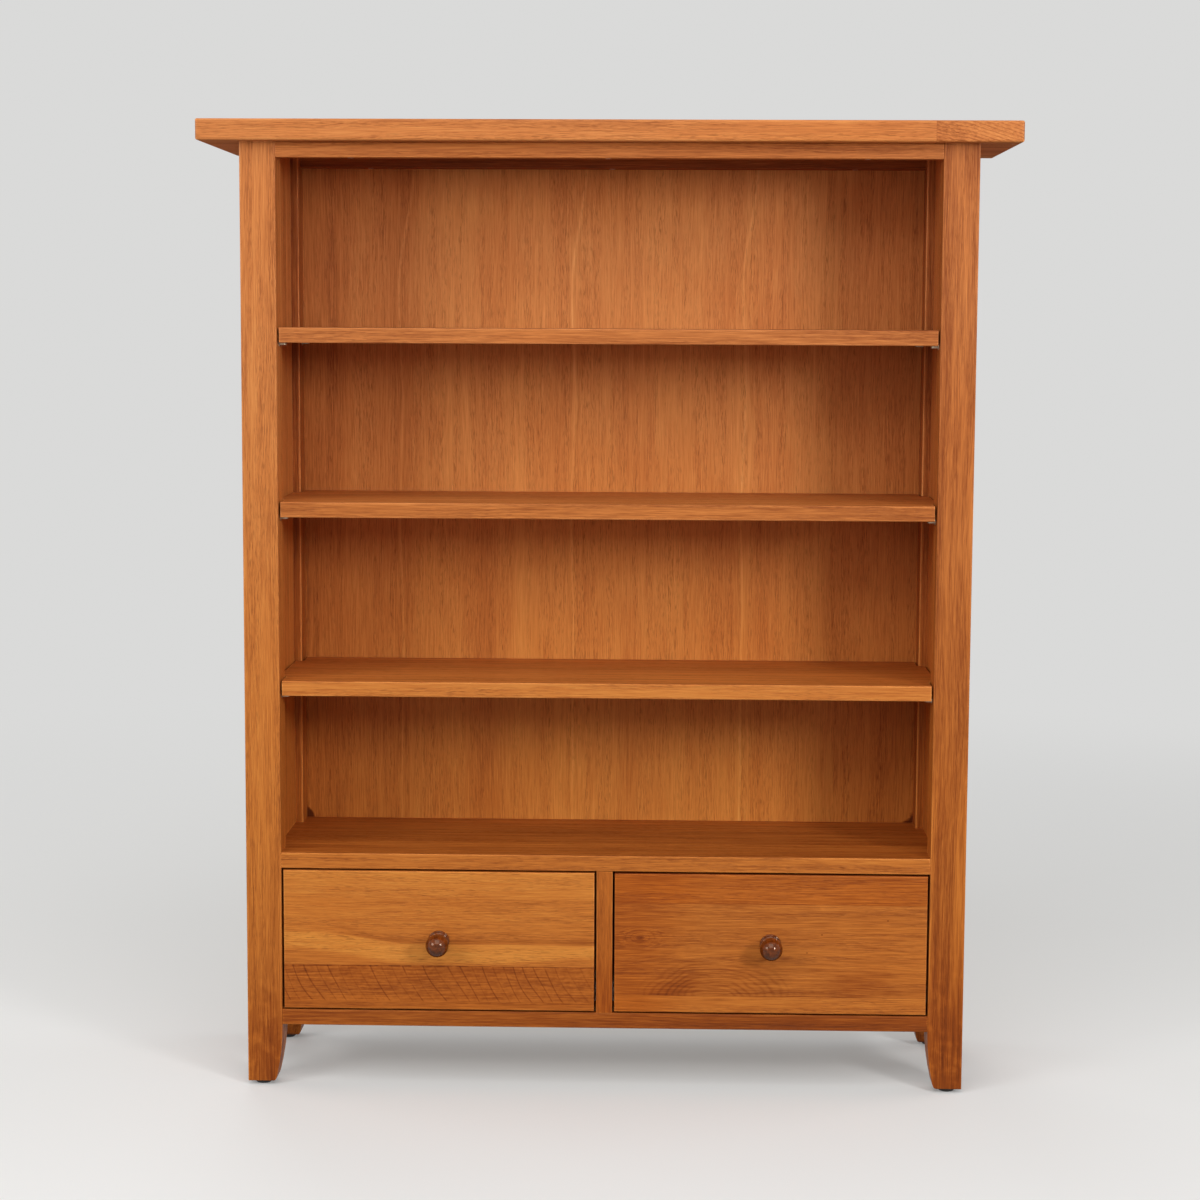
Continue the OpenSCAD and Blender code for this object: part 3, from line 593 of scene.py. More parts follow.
print("stained oak: pores", PORE_DEPTH * 1000, "mm deep")

# %% [markdown]
# ## The case
#
# The posts are sawn from different lengths of wood: the left one is light and even, the right one redder
# with darker streaks. The foot of each post is darker and redder, as painted shade where the light falls
# off towards the floor, with pale scuffs in the dark wood. The panels and shelves are glued up from
# narrower boards. Seeds are chosen one by one: another seed is another log.

# %% Posts
POST_INNER = 0.406
POST_FRONT = 0.076
# reach of the painted highlight on the back posts' inner front arris
ARRIS_HIGHLIGHT_REACH = 0.0035
A_LITTLE = 0.001
# heights between which a change comes in, on the way down
FOOT_HEIGHTS = (0.24, 0.02)
LOWER_HALF = (0.9, 0.3)
SCUFFS = 60.0


def scuffed_and_shaded_foot(depth, lift=0.0):
    """Darker by depth and redder at the floor as painted shade, scuffed there, and lighter by lift on the
    way down.
    """
    def figure(oak, board, level):
        height = oak.add(oak.z, oak.times(board.drift, 3.0))
        low = oak.fade(height, *FOOT_HEIGHTS)
        scuffs = oak.fade(oak.noise(oak.place, SCUFFS, 3.0), 0.45, 0.75)
        level = oak.lift(level, oak.times(scuffs, low), 0.3)
        level = oak.lift(level, oak.fade(height, *LOWER_HALF), lift)
        # Painted shade: darker and redder towards the floor, where the light falls off.
        return oak.lift(level, low, -depth), oak.times(low, 0.4)

    return figure


def inside_shade_and_arris_highlight(oak, board, level):
    """The scuffed and shaded foot, painted shade on the two faces inside the case, and a painted highlight
    on the arris between them.
    """
    level, flush = scuffed_and_shaded_foot(0.3)(oak, board, level)
    out = oak.calc("ABSOLUTE", oak.x)
    y = oak.y
    inner = oak.calc("LESS_THAN", out, POST_INNER + A_LITTLE)
    inside = oak.calc("MAXIMUM", inner, oak.calc("LESS_THAN", y, POST_FRONT + A_LITTLE))
    # Painted shade on the faces inside the case.
    level = oak.lift(level, inside, -0.18)
    # Painted highlight on the arris between the two inside faces.
    arris = oak.times(oak.near(out, POST_INNER, ARRIS_HIGHLIGHT_REACH), oak.near(y, POST_FRONT, ARRIS_HIGHLIGHT_REACH))
    return oak.lift(level, arris, 0.5), flush


light_post = stained_oak("oak_post_light", "zxy", 3.0, figure=scuffed_and_shaded_foot(0.36))
red_post = stained_oak(
    "oak_post_red", "zxy", 8.0, tone=-0.34, red=0.3, streaks=0.4, figure=scuffed_and_shaded_foot(0.3, 0.14)
)
back_posts = stained_oak("oak_back_posts", "zxy", 13.0, tone=-0.2, figure=inside_shade_and_arris_highlight)
apply_finish(light_post, "front_post_left")
apply_finish(red_post, "front_post_right")
apply_finish(back_posts, "back_post_left", "back_post_right")
print("posts: 4 in 3 finishes")

# %% [markdown]
# The side panels are one lot of wood, so they share a finish. The right one is darker, as painted shade.
# A second finish could do that, but a fade along x does it in one, and serves the bottom rail too.

# %% Side panels
SIDE_JOINTS = (-0.025, 0.030)
LEFT_TO_RIGHT = (-0.2, 0.3)


def dim_right(depth):
    """A right half that is darker by depth."""
    def figure(oak, board, level):
        return oak.lift(level, oak.fade(oak.x, *LEFT_TO_RIGHT), -depth), 0.0

    return figure


# Painted shade: the right side panel is darker.
side_oak = stained_oak("oak_side_panels", "zyx", 11.0, SIDE_JOINTS, tone=0.06, figure=dim_right(0.18))
apply_finish(side_oak, "side_panel_left", "side_panel_right")
print("boards in a side panel:", len(SIDE_JOINTS) + 1)

# %% [markdown]
# The front strip of the top board is made of two lengths. The short one at the right was cut with the
# grain running at a slant, which shows as slanting lines on the front edge. Two materials would need a
# cut in the mesh, so the grain's own coordinate is tilted right of the joint instead.

# %% Top board
TOP_JOINTS = (-0.062, 0.018, 0.089)
SHORT_LENGTH_FROM = 0.3946
JOINT_REACH = 0.0009
SLANT = 0.24
SHORT_LENGTH_LOT = 5.0
RING_SPACING = 0.0042
# The rings bow near the joint: over this length, by this much, in metres.
BOW_LENGTH = 0.045
BOW = 0.007


def short_length(oak):
    """The slant of the grain right of the butt joint in the front strip, and that piece's lot number."""
    past = oak.calc("GREATER_THAN", oak.x, SHORT_LENGTH_FROM)
    in_strip = oak.calc("LESS_THAN", oak.y, TOP_JOINTS[0])
    here = oak.times(past, in_strip)
    run = oak.add(oak.x, -SHORT_LENGTH_FROM)
    return oak.times(here, oak.times(run, SLANT)), oak.times(here, SHORT_LENGTH_LOT)


def top_figure(oak, board, level):
    """The thin butt joint, the slanting lines of the short length, and a redder right half."""
    x = oak.x
    in_strip = oak.calc("LESS_THAN", oak.y, TOP_JOINTS[0])
    joint = oak.times(oak.near(x, SHORT_LENGTH_FROM, JOINT_REACH), in_strip)
    past = oak.times(oak.calc("GREATER_THAN", x, SHORT_LENGTH_FROM), in_strip)
    level = oak.lift(level, joint, -0.16)
    bow = oak.times(oak.fade(x, SHORT_LENGTH_FROM, SHORT_LENGTH_FROM + BOW_LENGTH, 1.0, 0.0), BOW)
    ring_at = oak.add(board.deep, bow, oak.times(board.across, 0.4))
    ring = oak.near(oak.calc("FRACT", oak.times(ring_at, 1 / RING_SPACING)), 0.5, 0.3)
    ring = oak.times(ring, oak.lift(1.0, oak.faces("z"), -0.7))
    level = oak.lift(level, oak.times(ring, past), -0.3)
    return level, oak.fade(x, 0.0, 0.35, 0.0, 0.3)


top_oak = stained_oak(
    "oak_top", "xyz", 5.0, TOP_JOINTS, tone=0.04, streaks=0.2, luck=0.10,
    figure=top_figure, skew=short_length,
)
apply_finish(top_oak, "top_panel")
print("top joint at x =", SHORT_LENGTH_FROM)

# %% [markdown]
# The rails lie across, with the grain from post to post. The front ones are redder than the posts, and the
# two at the back, which hardly show, share one dark finish: painted shade, as the top one lies in shadow.

# %% Rails
top_rail_oak = stained_oak("oak_top_rail", "xzy", 14.0, tone=-0.22, red=0.3)
# Painted shade: the dark tone of the back rails.
shaded_back_rail_oak = stained_oak("oak_back_rails_shaded", "xzy", 17.0, tone=-0.55, red=0.2)
low_rail_oak = stained_oak("oak_low_rail", "xzy", 15.0, tone=-0.2, red=0.4, figure=dim_right(0.3))
apply_finish(top_rail_oak, "top_front_rail")
apply_finish(shaded_back_rail_oak, "top_back_rail", "bottom_back_rail")
apply_finish(low_rail_oak, "bottom_front_rail")
print("rails: 4 in 3 finishes")

# %% [markdown]
# The deck, the upper and the lower shelf are darker on top than on their front edges: painted shade, as
# the tops catch the light at a low angle under the board above. The middle shelf has painted light on top
# instead. The partition is hidden but for its front edge. A table and a loop make the four boards alike,
# apart from what the table says.


# %% Deck, partition and shelves
def painted_top_shade(depth, red_end=0.0):
    """Painted shade by depth on the faces that look up or down, painted light where depth is negative, and
    a redder, deeper right end.
    """
    def figure(oak, board, level):
        right = oak.fade(oak.x, 0.1, 0.4, 0.0, red_end)
        # Painted shade, or painted light for a negative depth, on the faces that look up or down.
        level = oak.lift(level, oak.faces("z"), -depth)
        return oak.lift(level, right, -0.4), right

    return figure


def low_red(oak, board, level):
    """Redder and deeper towards the bottom rail."""
    low = oak.fade(oak.z, 0.2, 0.1)
    return oak.lift(level, low, -0.18), oak.times(low, 0.5)


BOARD_JOINTS = (-0.040, 0.035)
# piece, finish, seed, tone, depth of the painted shade on top, red of the right end
FLAT_BOARDS = (
    ("drawer_deck", "oak_deck", 21.0, -0.1, 0.27, 0.0),
    ("shelf_upper", "oak_shelf_upper", 26.0, -0.2, 0.14, 0.2),
    ("shelf_middle", "oak_shelf_middle", 29.0, -0.2, -0.10, 0.2),
    ("shelf_lower", "oak_shelf_lower", 33.0, 0.10, 0.26, 0.2),
)
for piece, name, seed, tone, depth, red_end in FLAT_BOARDS:
    figure = painted_top_shade(depth, red_end)
    board_oak = stained_oak(name, "xyz", seed, BOARD_JOINTS, tone, bands=0.25, luck=0.06, figure=figure)
    apply_finish(board_oak, piece)
partition_oak = stained_oak("oak_partition", "zxy", 23.0, tone=-0.42, red=0.5, figure=low_red)
apply_finish(partition_oak, "drawer_partition")
print("flat boards:", len(FLAT_BOARDS))

# %% [markdown]
# ## The left drawer front
#
# The two drawer fronts show the most. The left one is glued up from four strips. From the top these are a
# light one, a deeper orange one with a pale wavy band low in it, a reddish one sawn so that its rays show
# as slanting strokes, and a thin one at the foot. Each figure is drawn from the point's height and its
# distance along the front, in metres.
#
# The wavy band comes first. It lies between two curves, each a smooth bend between two heights.

# %% The pale wavy band
LEFT_STRIPS = (0.1085, 0.1562, 0.2425)
LEFT_TONES = (-0.22, -0.2, 0.04, 0.18)
LEFT_REDS = (0.5, 0.5, 0.12, 0.0)
# where a bend starts and ends along x, and the heights before and after it
BAND_TOP = (-0.24, -0.36, 0.1845, 0.198)
BAND_FOOT = (-0.24, -0.40, 0.160, 0.178)
BAND_FOOT_RISE = (-0.15, -0.03, 0.0, 0.008)


def wavy_band(oak, wavy_z, level):
    """The pale band with a darker line over it, and deeper wood down to the glue line."""
    x = oak.x
    foot = oak.add(oak.fade(x, *BAND_FOOT), oak.fade(x, *BAND_FOOT_RISE))
    below_top = oak.calc("SUBTRACT", oak.fade(x, *BAND_TOP), wavy_z)
    above_foot = oak.calc("SUBTRACT", wavy_z, foot)
    band = oak.times(oak.fade(below_top, -0.001, 0.002), oak.fade(above_foot, -0.003, 0.005))
    level = oak.lift(level, band, 0.40)
    line = oak.times(oak.near(below_top, -0.003, 0.007), oak.fade(x, -0.33, -0.25))
    level = oak.lift(level, line, -0.26)
    in_strip = oak.calc("GREATER_THAN", oak.z, LEFT_STRIPS[1])
    rest = oak.times(oak.fade(above_foot, 0.001, -0.006), in_strip)
    return oak.lift(level, rest, -0.12)


print("left strips meet at", LEFT_STRIPS)

# %% [markdown]
# The rays are strokes that lean and bend. Counting along x minus the lean gives each stroke a number. Its
# part after the point says how near the middle of the stroke a point lies, and its whole part how strong
# the stroke is. Noise breaks the strokes up and moves them off an even beat.

# %% The ray strokes
STROKE_SPACING = 0.0138
STROKE_LEAN = 0.38
STROKE_BEND = 4.0
STROKE_HALF_WIDTH = 0.11
STROKE_WANDER = 1.6


def ray_strokes(oak, level):
    """The slanting strokes and the flecks of the reddish strip."""
    z = oak.z
    drop = oak.calc("SUBTRACT", LEFT_STRIPS[1], z)
    lean = oak.add(oak.times(drop, STROKE_LEAN), oak.times(oak.times(drop, drop), STROKE_BEND))
    even = oak.times(oak.calc("SUBTRACT", oak.x, lean), 1 / STROKE_SPACING)
    count = oak.add(even, oak.times(oak.mottle(16.0, 5.0, 0.0), STROKE_WANDER))
    strength = oak.chance(oak.calc("FLOOR", count))
    line = oak.near(oak.calc("FRACT", count), 0.5, STROKE_HALF_WIDTH)
    line = oak.times(line, oak.fade(oak.mottle(60.0, 45.0, 3.0), 0.30, 0.44))
    in_strip = oak.times(oak.fade(z, 0.109, 0.113), oak.calc("LESS_THAN", z, LEFT_STRIPS[1]))
    strokes = oak.times(oak.times(line, in_strip), oak.fade(strength, 0.0, 0.7, 0.3, 1.0))
    level = oak.lift(level, strokes, -0.38)
    flecks = oak.add(oak.mottle(150.0, 260.0, 6.0, 2.0), -0.5)
    return oak.lift(level, oak.times(flecks, in_strip), 0.5)


print("a stroke every", round(STROKE_SPACING * 1000, 1), "mm")

# %% [markdown]
# Last come the glue lines, which show in dashes, and the narrow sides, darkened as painted shade of the
# gaps.

# %% Left drawer front
GLUE_LINE_REACH = 0.0011
GLUE_LINE_TONES = (-0.25, -0.55, -0.1)


def painted_gap_shade(oak, level):
    """Painted shade of the gaps on the narrow sides, all round the front."""
    narrow = oak.calc("MAXIMUM", oak.faces("x"), oak.faces("z"))
    # Painted shade: the narrow sides face the dark gaps round the front.
    return oak.lift(level, narrow, -0.5)


def left_figure(oak, board, level):
    """The strips, the wavy band, the ray strokes and the glue lines of the left front."""
    z = oak.z
    wavy_z = oak.add(z, oak.times(board.drift, 0.35))
    level = oak.add(level, oak.steps(z, LEFT_STRIPS, LEFT_TONES))
    level = wavy_band(oak, wavy_z, level)
    level = ray_strokes(oak, level)
    dash_noise = oak.noise(oak.point(oak.times(oak.x, 70.0), 1.0, 0.0), 1.0, 1.0)
    dashes = oak.fade(dash_noise, 0.42, 0.55, 0.2, 1.0)
    for strip, tone in zip(LEFT_STRIPS, GLUE_LINE_TONES):
        glue_line = oak.times(oak.near(wavy_z, strip, GLUE_LINE_REACH), dashes)
        level = oak.lift(level, glue_line, tone)
    return painted_gap_shade(oak, level), oak.steps(z, LEFT_STRIPS, LEFT_REDS)


left_front = stained_oak(
    "oak_front_left", "xzy", 41.0, LEFT_STRIPS, bands=0.3, streaks=0.16, fibre=0.62, luck=0.02,
    figure=left_figure,
)
apply_finish(left_front, "drawer_left_front")
print("left front: strips, band, strokes and glue lines")

# %% [markdown]
# ## The right drawer front
#
# The right front has a reddish strip on top, a broad board in the middle and a narrow light strip at the
# foot. The broad board was sawn close to the bark side, so its rings close into an arch. An arch is a set
# of ovals, one in the other: the distance from the middle of an oval, counted in rings. Two noises ripple
# the rings and swell them out of shape.

# %% The arch of the right front
RIGHT_STRIPS = (0.1216, 0.2394)
RIGHT_TONES = (-0.12, -0.16, -0.24)
ARCH_MIDDLE = (0.140, 0.116)
ARCH_HALF = (0.066, 0.040)
ARCH_RINGS = 7.0
RED_PATCH = (0.318, 0.140)
RED_PATCH_HALF = (0.050, 0.022)


def oval(oak, middle, half):
    """Distance from the middle of an oval on the front, 1 on its edge."""
    across = oak.times(oak.add(oak.x, -middle[0]), 1 / half[0])
    up = oak.times(oak.add(oak.z, -middle[1]), 1 / half[1])
    return oak.distance(across, up)


def arch_and_patch(oak, ripple, level):
    """The arch with its deeper flank, a deeper patch at the right, and how much redder both are."""
    z = oak.z
    above = oak.calc("GREATER_THAN", z, RIGHT_STRIPS[0])
    in_board = oak.times(above, oak.calc("LESS_THAN", z, RIGHT_STRIPS[1]))
    swell = oak.mottle(12.0, 18.0, 8.0)
    even = oval(oak, ARCH_MIDDLE, ARCH_HALF)
    arch = oak.add(even, oak.times(ripple, 0.2), oak.times(swell, 0.5), -0.35)
    ring = oak.near(oak.calc("FRACT", oak.times(arch, ARCH_RINGS)), 0.5, 0.36)
    reach = oak.times(oak.fade(arch, 0.15, 0.35), oak.fade(arch, 1.7, 0.9))
    reach = oak.times(reach, oak.fade(ripple, 0.3, 0.6, 0.4, 1.0))
    level = oak.lift(level, oak.times(oak.times(ring, reach), in_board), -0.24)
    flank = oak.times(oak.near(arch, 0.75, 0.7), oak.fade(oak.x, 0.140, 0.100))
    flank = oak.times(flank, in_board)
    level = oak.lift(level, flank, -0.22)
    patch = oak.add(oval(oak, RED_PATCH, RED_PATCH_HALF), oak.times(ripple, 1.4), -0.7)
    patch = oak.times(oak.fade(patch, 1.2, 0.3), in_board)
    level = oak.lift(level, patch, -0.16)
    return level, oak.times(oak.calc("MAXIMUM", patch, flank), 0.25)


print("right strips meet at", RIGHT_STRIPS)

# %% [markdown]
# A small knot sits at the left end of the broad board. Grain runs round a knot, so the coordinate that
# makes the grain is pushed aside there: lines that would cross the knot pass over and under it. A few
# dents and a scuff are from use.

# %% The knot and the marks
KNOT = (0.0447, 0.1955)
KNOT_HALF = (0.0048, 0.0026)
KNOT_BEND_HALF = (0.040, 0.017)
KNOT_PUSH = 0.8
KNOT_TURNS = 1.6
DENTS = ((0.2723, 0.2015), (0.2539, 0.1783), (0.3543, 0.2203))
DENT_HALF = (0.0012, 0.0009)
SCUFF = (0.2743, 0.2372)
SCUFF_HALF = (0.007, 0.005)


def round_the_knot(oak):
    """How far the grain is pushed aside round the knot, and no change of lot."""
    push = oak.fade(oval(oak, KNOT, KNOT_BEND_HALF), 1.0, 0.0, 0.0, -KNOT_PUSH)
    return oak.times(oak.add(oak.z, -KNOT[1]), push), 0.0


def knot_and_marks(oak, ripple, level):
    """The knot with its swirl, the dents and the scuff."""
    knot = oval(oak, KNOT, KNOT_HALF)
    turns = oak.times(oak.calc("LOGARITHM", knot, 2.0), KNOT_TURNS)
    swirl = oak.near(oak.calc("FRACT", turns), 0.0, 0.4)
    level = oak.lift(level, oak.times(swirl, oak.fade(knot, 7.5, 1.5)), -0.16)
    level = oak.lift(level, oak.fade(knot, 1.6, 0.3), -0.45)
    for dent in DENTS:
        level = oak.lift(level, oak.fade(oval(oak, dent, DENT_HALF), 1.3, 0.5), -0.6)
    scuff = oak.fade(oval(oak, SCUFF, SCUFF_HALF), 1.2, 0.3)
    return oak.lift(level, oak.times(scuff, oak.fade(ripple, 0.4, 0.6)), 0.4)


print("knot at", KNOT, "and", len(DENTS), "dents")

# %% [markdown]
# The board's left end is redder and a little deeper, and so is the strip on top.

# %% Right drawer front
LEFT_END = (0.13, 0.03)


def right_figure(oak, board, level):
    """The strips, the arch, the knot and the small marks of the right front."""
    z = oak.z
    level = oak.add(level, oak.steps(z, RIGHT_STRIPS, RIGHT_TONES))
    ripple = oak.mottle(30.0, 60.0, 5.0, 2.0)
    level, glow = arch_and_patch(oak, ripple, level)
    level = knot_and_marks(oak, ripple, level)
    for strip in RIGHT_STRIPS:
        level = oak.lift(level, oak.near(z, strip, JOINT_REACH), -0.2)
    left_end = oak.fade(oak.x, *LEFT_END)
    level = oak.lift(level, left_end, -0.08)
    top_strip = oak.calc("GREATER_THAN", z, RIGHT_STRIPS[1])
    flush = oak.add(oak.times(top_strip, 0.75), oak.times(left_end, 0.75), glow, 0.05)
    return painted_gap_shade(oak, level), flush


right_front = stained_oak(
    "oak_front_right", "xzy", 47.0, RIGHT_STRIPS, bands=0.3, streaks=0.13, fibre=0.68, luck=0.02,
    figure=right_figure, skew=round_the_knot,
)
apply_finish(right_front, "drawer_right_front")
print("right front: strips, arch, knot and marks")

# %% [markdown]
# ## The veneered back
#
# The back is thin board with sliced oak veneer on its front face. Sliced leaves lie side by side with
# soft changes of tone, and a pale wavy line runs down where some of them meet. The two lower corners
# over the deck are darker.

# %% The leaves of the veneer
LEAF_EDGES = (-0.345, -0.272, -0.160, -0.047, 0.070, 0.176, 0.300)
# The first and the last tone, at the two sides, are darker partly for the leaves and partly as painted
# shade where the posts shadow the back.
LEAF_TONES = (-0.20, -0.10, 0.02, 0.04, 0.05, 0.02, 0.02, -0.12)
LEAF_BLUR = 0.012
LEAF_LINES = (-0.277, -0.050, 0.174)
LINE_REACH = 0.0030
LEAF_WANDER = 0.020
# Towards the top the leaves lean: between these heights, by this much.
LEAF_LEAN = (1.0, 1.17, 0.0, 0.014)
CORNER_X = 0.406
CORNER_Z = 0.299
CORNER_DARK_REACH = 0.015


def leaves(oak, board, level):
    """Leaf tones with soft edges, pale lines between some of them, clouds, and darker lower corners."""
    x = oak.x
    z = oak.z
    wandering = oak.waver(x, oak.mottle(0.7, 3.2, 2.0), LEAF_WANDER)
    across = oak.calc("SUBTRACT", wandering, oak.fade(z, *LEAF_LEAN))
    tone = LEAF_TONES[0]
    for edge, before, after in zip(LEAF_EDGES, LEAF_TONES, LEAF_TONES[1:]):
        tone = oak.lift(tone, oak.fade(across, edge - LEAF_BLUR, edge + LEAF_BLUR), after - before)
    level = oak.add(level, tone)
    for line in LEAF_LINES:
        level = oak.lift(level, oak.near(across, line, LINE_REACH), 0.32)
    level = oak.waver(level, oak.mottle(9.0, 5.0, 7.0, 3.0), 0.5)
    # Darker in the two lower corners over the deck.
    inward = oak.calc("SUBTRACT", CORNER_X, oak.calc("ABSOLUTE", x))
    far = oak.times(oak.add(inward, z, -CORNER_Z), 1 / CORNER_DARK_REACH)
    ragged = oak.mottle(90.0, 90.0, 9.0, 3.0)
    corner_dark_edge = oak.add(far, oak.times(ragged, 1.6), -0.8)
    return oak.lift(level, oak.fade(corner_dark_edge, 1.1, 0.5), -1.1), 0.0


print("leaves of veneer:", len(LEAF_TONES))

# %% [markdown]
# The rear face was never stained: it is plain rotary-cut veneer, dry and pale. The panel is one mesh, so
# the two faces are told apart by the point's depth, and the raw wood is mixed in behind.

# %% Back panel
REAR_FACE = 0.1195
# painted light: the back's yellower cast towards the floor, for the warm floor bounce
BACK_BOUNCE_CAST = (1.0, 0.97, 0.63, 1.0)
RAW_WOOD = swatches((158, 104, 64), (184, 130, 86), (206, 156, 108), (220, 178, 132), (230, 192, 148))
RAW_STOPS = (0.1, 0.3, 0.5, 0.7, 0.9)

back = stained_oak(
    "veneer_back", "zxy", 51.0, tone=0.11, bands=0.3, streaks=0.16, fibre=0.6, red=0.12,
    figure=leaves, bounce_cast=BACK_BOUNCE_CAST,
)
raw = Board(back, "zxy", 57.0)
raw_fibre = back.add(raw.streaks(0.02, 0.002), -0.5)
raw_level = back.add(raw.streaks(0.9, 0.10, 3.0), back.times(raw_fibre, 0.6))
raw_colour = back.scale_of(raw_level, RAW_STOPS, RAW_WOOD)
behind = back.calc("GREATER_THAN", back.y, REAR_FACE)
both_colours = back.blend(behind, back.wired("Base Color"), raw_colour)
both_shines = back.lift(back.wired("Roughness"), behind, 0.3)
back.plug(back.shader.inputs["Base Color"], both_colours)
back.plug(back.shader.inputs["Roughness"], both_shines)
apply_finish(back, "back_panel")
print("raw wood behind y =", REAR_FACE)

# %% [markdown]
# ## Inside the drawers
#
# Drawer boxes and the battens behind the runners are unstained oak under a thin sealer. The bottoms are
# plywood. Both use the same recipe as the stained oak, with paler swatches and a weaker painted warm
# bounce towards the floor.

# %% Pale oak and plywood
PALE_OAK = swatches((138, 92, 48), (172, 122, 70), (204, 158, 102), (222, 184, 132), (234, 202, 156))
PLYWOOD = swatches((150, 106, 62), (182, 138, 86), (210, 170, 116), (226, 194, 146), (238, 212, 172))
# painted light: a weaker warm bounce towards the floor, for the pale wood
PALE_BOUNCE_CAST = (1.0, 0.97, 0.90, 1.0)

box_rails = stained_oak("pale_oak_across", "xzy", 61.0, stain=PALE_OAK, bounce_cast=PALE_BOUNCE_CAST, rough=0.5)
box_sides = stained_oak("pale_oak_back", "yzx", 64.0, stain=PALE_OAK, bounce_cast=PALE_BOUNCE_CAST, rough=0.5)
plywood = stained_oak(
    "plywood", "xyz", 67.0, bands=0.9, streaks=0.2, stain=PLYWOOD, bounce_cast=PALE_BOUNCE_CAST, rough=0.6
)
for side in ("left", "right"):
    apply_finish(box_rails, f"drawer_{side}_box_front", f"drawer_{side}_back")
    apply_finish(box_sides, f"drawer_{side}_side_outer", f"drawer_{side}_side_inner")
    apply_finish(box_sides, f"runner_batten_{side}")
    apply_finish(plywood, f"drawer_{side}_bottom")
apply_finish(plywood, "bottom_panel")
print("pieces finished so far:", len(finished))

# %% [markdown]
# ## Turned knobs
#
# The knobs are turned from a darker wood and lacquered. The lathe leaves fine rings round the axis, the
# grain runs along it, and the lacquer is glossy enough to show the softboxes as two soft spots. The
# undersides are darkened as painted shade: over a pale floor a polished ball would look pale from below.

# %% Knobs
KNOB_STOPS = (0.28, 0.52, 0.8)
KNOB_WOOD = swatches((76, 28, 2), (108, 46, 6), (140, 64, 14))
KNOB_SHEEN = (1.0, 0.78, 0.60, 1.0)
KNOB_UNDER_SHADE = (0.55, 0.48, 0.42, 1.0)
KNOB_GLOSS = 0.5
TURNING_RINGS = 9000.0
RING_DEPTH = 0.00002

knob = Finish("turned_wood")
knob_grain = Board(knob, "yxz", 71.0, wander=0.002)
knob_fibre = knob.add(knob_grain.streaks(0.012, 0.0008), -0.5)
knob_level = knob.add(knob_grain.streaks(0.05, 0.004, 3.0), knob.times(knob_fibre, 0.5))
knob_colour = knob.scale_of(knob_level, KNOB_STOPS, KNOB_WOOD)
# Painted shade on the undersides of the knobs.
painted_underside_shade = knob.fade(knob.facing()["z"], 0.1, -0.8)
knob.surface(
    Base_Color=knob.blend(painted_underside_shade, knob_colour, KNOB_UNDER_SHADE, "MULTIPLY"),
    Roughness=knob.fade(knob_level, 0.3, 0.7, 0.10, 0.15),
    Specular_Tint=KNOB_SHEEN,
    Specular_IOR_Level=KNOB_GLOSS,
)
tool_rings = knob.calc("SINE", knob.times(knob.y, TURNING_RINGS))
knob.relief(knob.times(tool_rings, 0.5), RING_DEPTH, 0.2)
apply_finish(knob, "drawer_left_knob", "drawer_right_knob")
print("turning rings:", round(math.tau / TURNING_RINGS * 1000, 2), "mm apart")

# %% [markdown]
# ## Metal and plastic
#
# The fittings are small but each has its own look. The shelf pins are nickel and the screws yellowish
# zinc. Both are one recipe: a metal, brushed by the barrel it was plated in, with a few dull spots.

# %% Plated metal
BRUSHING = (900.0, 4000.0, 900.0)
DULL_SPOTS = 220.0
BRUSH_DEPTH = 0.00002


def plated(name, colour, dull, rough):
    """Plated metal with fine brushing and a few dull spots."""
    metal = Finish(name)
    brushed = metal.noise(metal.stretched(*BRUSHING), 1.0)
    spots = metal.fade(metal.noise(metal.place, DULL_SPOTS, 3.0), 0.52, 0.7)
    shine = metal.add(rough, metal.times(brushed, 0.12), metal.times(spots, 0.15))
    metal.surface(Base_Color=metal.blend(spots, colour, dull), Metallic=1.0, Roughness=shine)
    metal.relief(brushed, BRUSH_DEPTH, 0.3)
    return metal


nickel = plated("nickel", swatch(184, 164, 140), swatch(150, 128, 102), 0.32)
zinc = plated("zinc", swatch(206, 202, 186), swatch(150, 144, 124), 0.34)
screw_names = [name for name in nodes if name.endswith(("screws", "screw"))]
apply_finish(nickel, "shelf_pins")
apply_finish(zinc, *screw_names)
print("sets of screws:", len(screw_names))

# %% [markdown]
# The runners are steel with a baked white coat. It has a slight orange-peel surface, and it is worn grey
# along the way that the rollers run and on the edges.

# %% White runners
RUNNER_WHITE = swatch(226, 222, 212)
RUNNER_GREY = swatch(150, 146, 140)
RUN_MARKS = (700.0, 12.0, 700.0)
PEEL = 900.0
PEEL_DEPTH = 0.00005
EDGE_WEAR = 0.0008

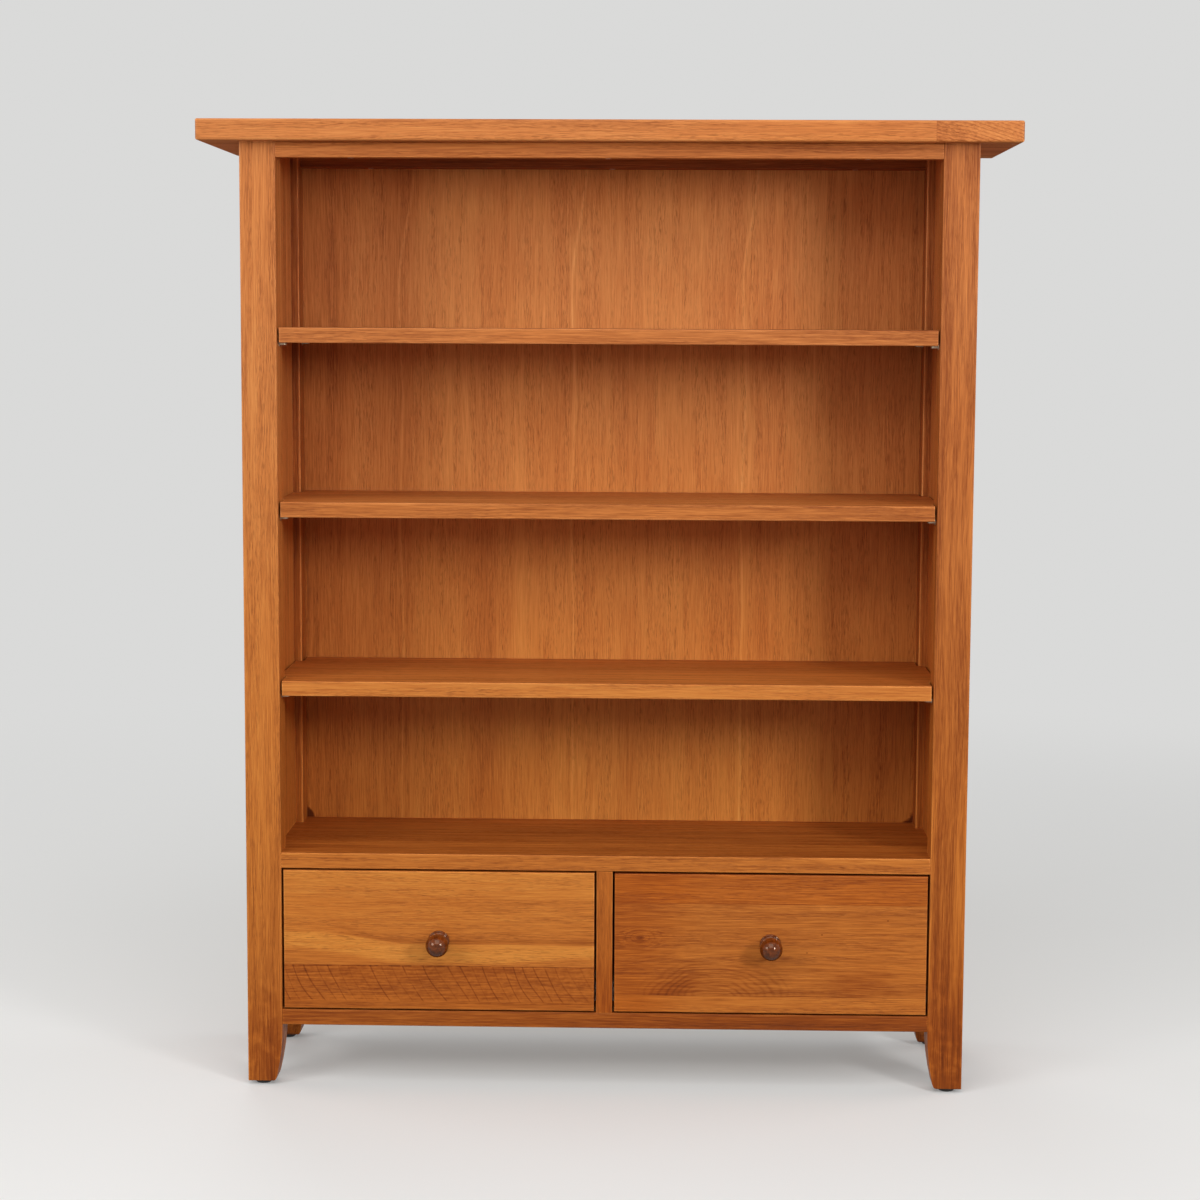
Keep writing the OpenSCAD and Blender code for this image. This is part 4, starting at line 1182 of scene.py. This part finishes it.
enamel = Finish("white_enamel")
track = enamel.noise(enamel.stretched(*RUN_MARKS), 1.0)
worn = enamel.calc("MAXIMUM", enamel.fade(track, 0.56, 0.72), enamel.arris(EDGE_WEAR))
enamel.surface(
    Base_Color=enamel.blend(enamel.times(worn, 0.6), RUNNER_WHITE, RUNNER_GREY),
    Roughness=enamel.lift(0.32, worn, 0.2),
)
enamel.relief(enamel.noise(enamel.place, PEEL, 2.0), PEEL_DEPTH, 0.4)
runner_names = [name for name in nodes if "_runner_" in name and not name.endswith("screws")]
apply_finish(enamel, *runner_names)
print("runners:", len(runner_names))

# %% [markdown]
# The rollers are nylon. Their flat sides stay clean and the tread picks up grey from the track. The
# glides under the feet are black plastic, scratched by the floor.

# %% Nylon rollers and glides
NYLON = swatch(232, 228, 216)
TREAD_GREY = swatch(170, 164, 152)
GLIDE_BLACK = swatch(34, 30, 27)
GLIDE_GREY = swatch(74, 68, 62)
GRIME_SPOTS = 260.0
GRIME_DEPTH = 0.00004
SCRATCHES = 420.0
SCRATCH_DEPTH = 0.00006

nylon = Finish("nylon")
grime = nylon.fade(nylon.noise(nylon.place, GRIME_SPOTS, 3.0), 0.45, 0.7)
tread = nylon.calc("SUBTRACT", 1.0, nylon.faces("x"))
grey = nylon.times(tread, nylon.fade(grime, 0.0, 1.0, 0.4, 1.0))
nylon.surface(
    Base_Color=nylon.blend(nylon.times(grey, 0.7), NYLON, TREAD_GREY),
    Roughness=nylon.fade(grime, 0.0, 1.0, 0.38, 0.55),
)
nylon.relief(grime, GRIME_DEPTH, 0.3)
roller_names = [name for name in nodes if "_roller_" in name]
apply_finish(nylon, *roller_names)

plastic = Finish("glide")
scratched = plastic.fade(plastic.noise(plastic.place, SCRATCHES, 3.0), 0.5, 0.68)
plastic.surface(
    Base_Color=plastic.blend(plastic.times(scratched, 0.5), GLIDE_BLACK, GLIDE_GREY),
    Roughness=plastic.fade(scratched, 0.0, 1.0, 0.42, 0.65),
)
plastic.relief(scratched, SCRATCH_DEPTH, 0.4)
apply_finish(plastic, "glides")
print("rollers:", len(roller_names))

# %% [markdown]
# ## The last check
#
# Every piece should have a finish by now. Nothing was added to the bookcase itself.

# %% The last check
unfinished = sorted(set(nodes) - finished)
print("pieces finished:", len(finished), "of", len(nodes), unfinished)
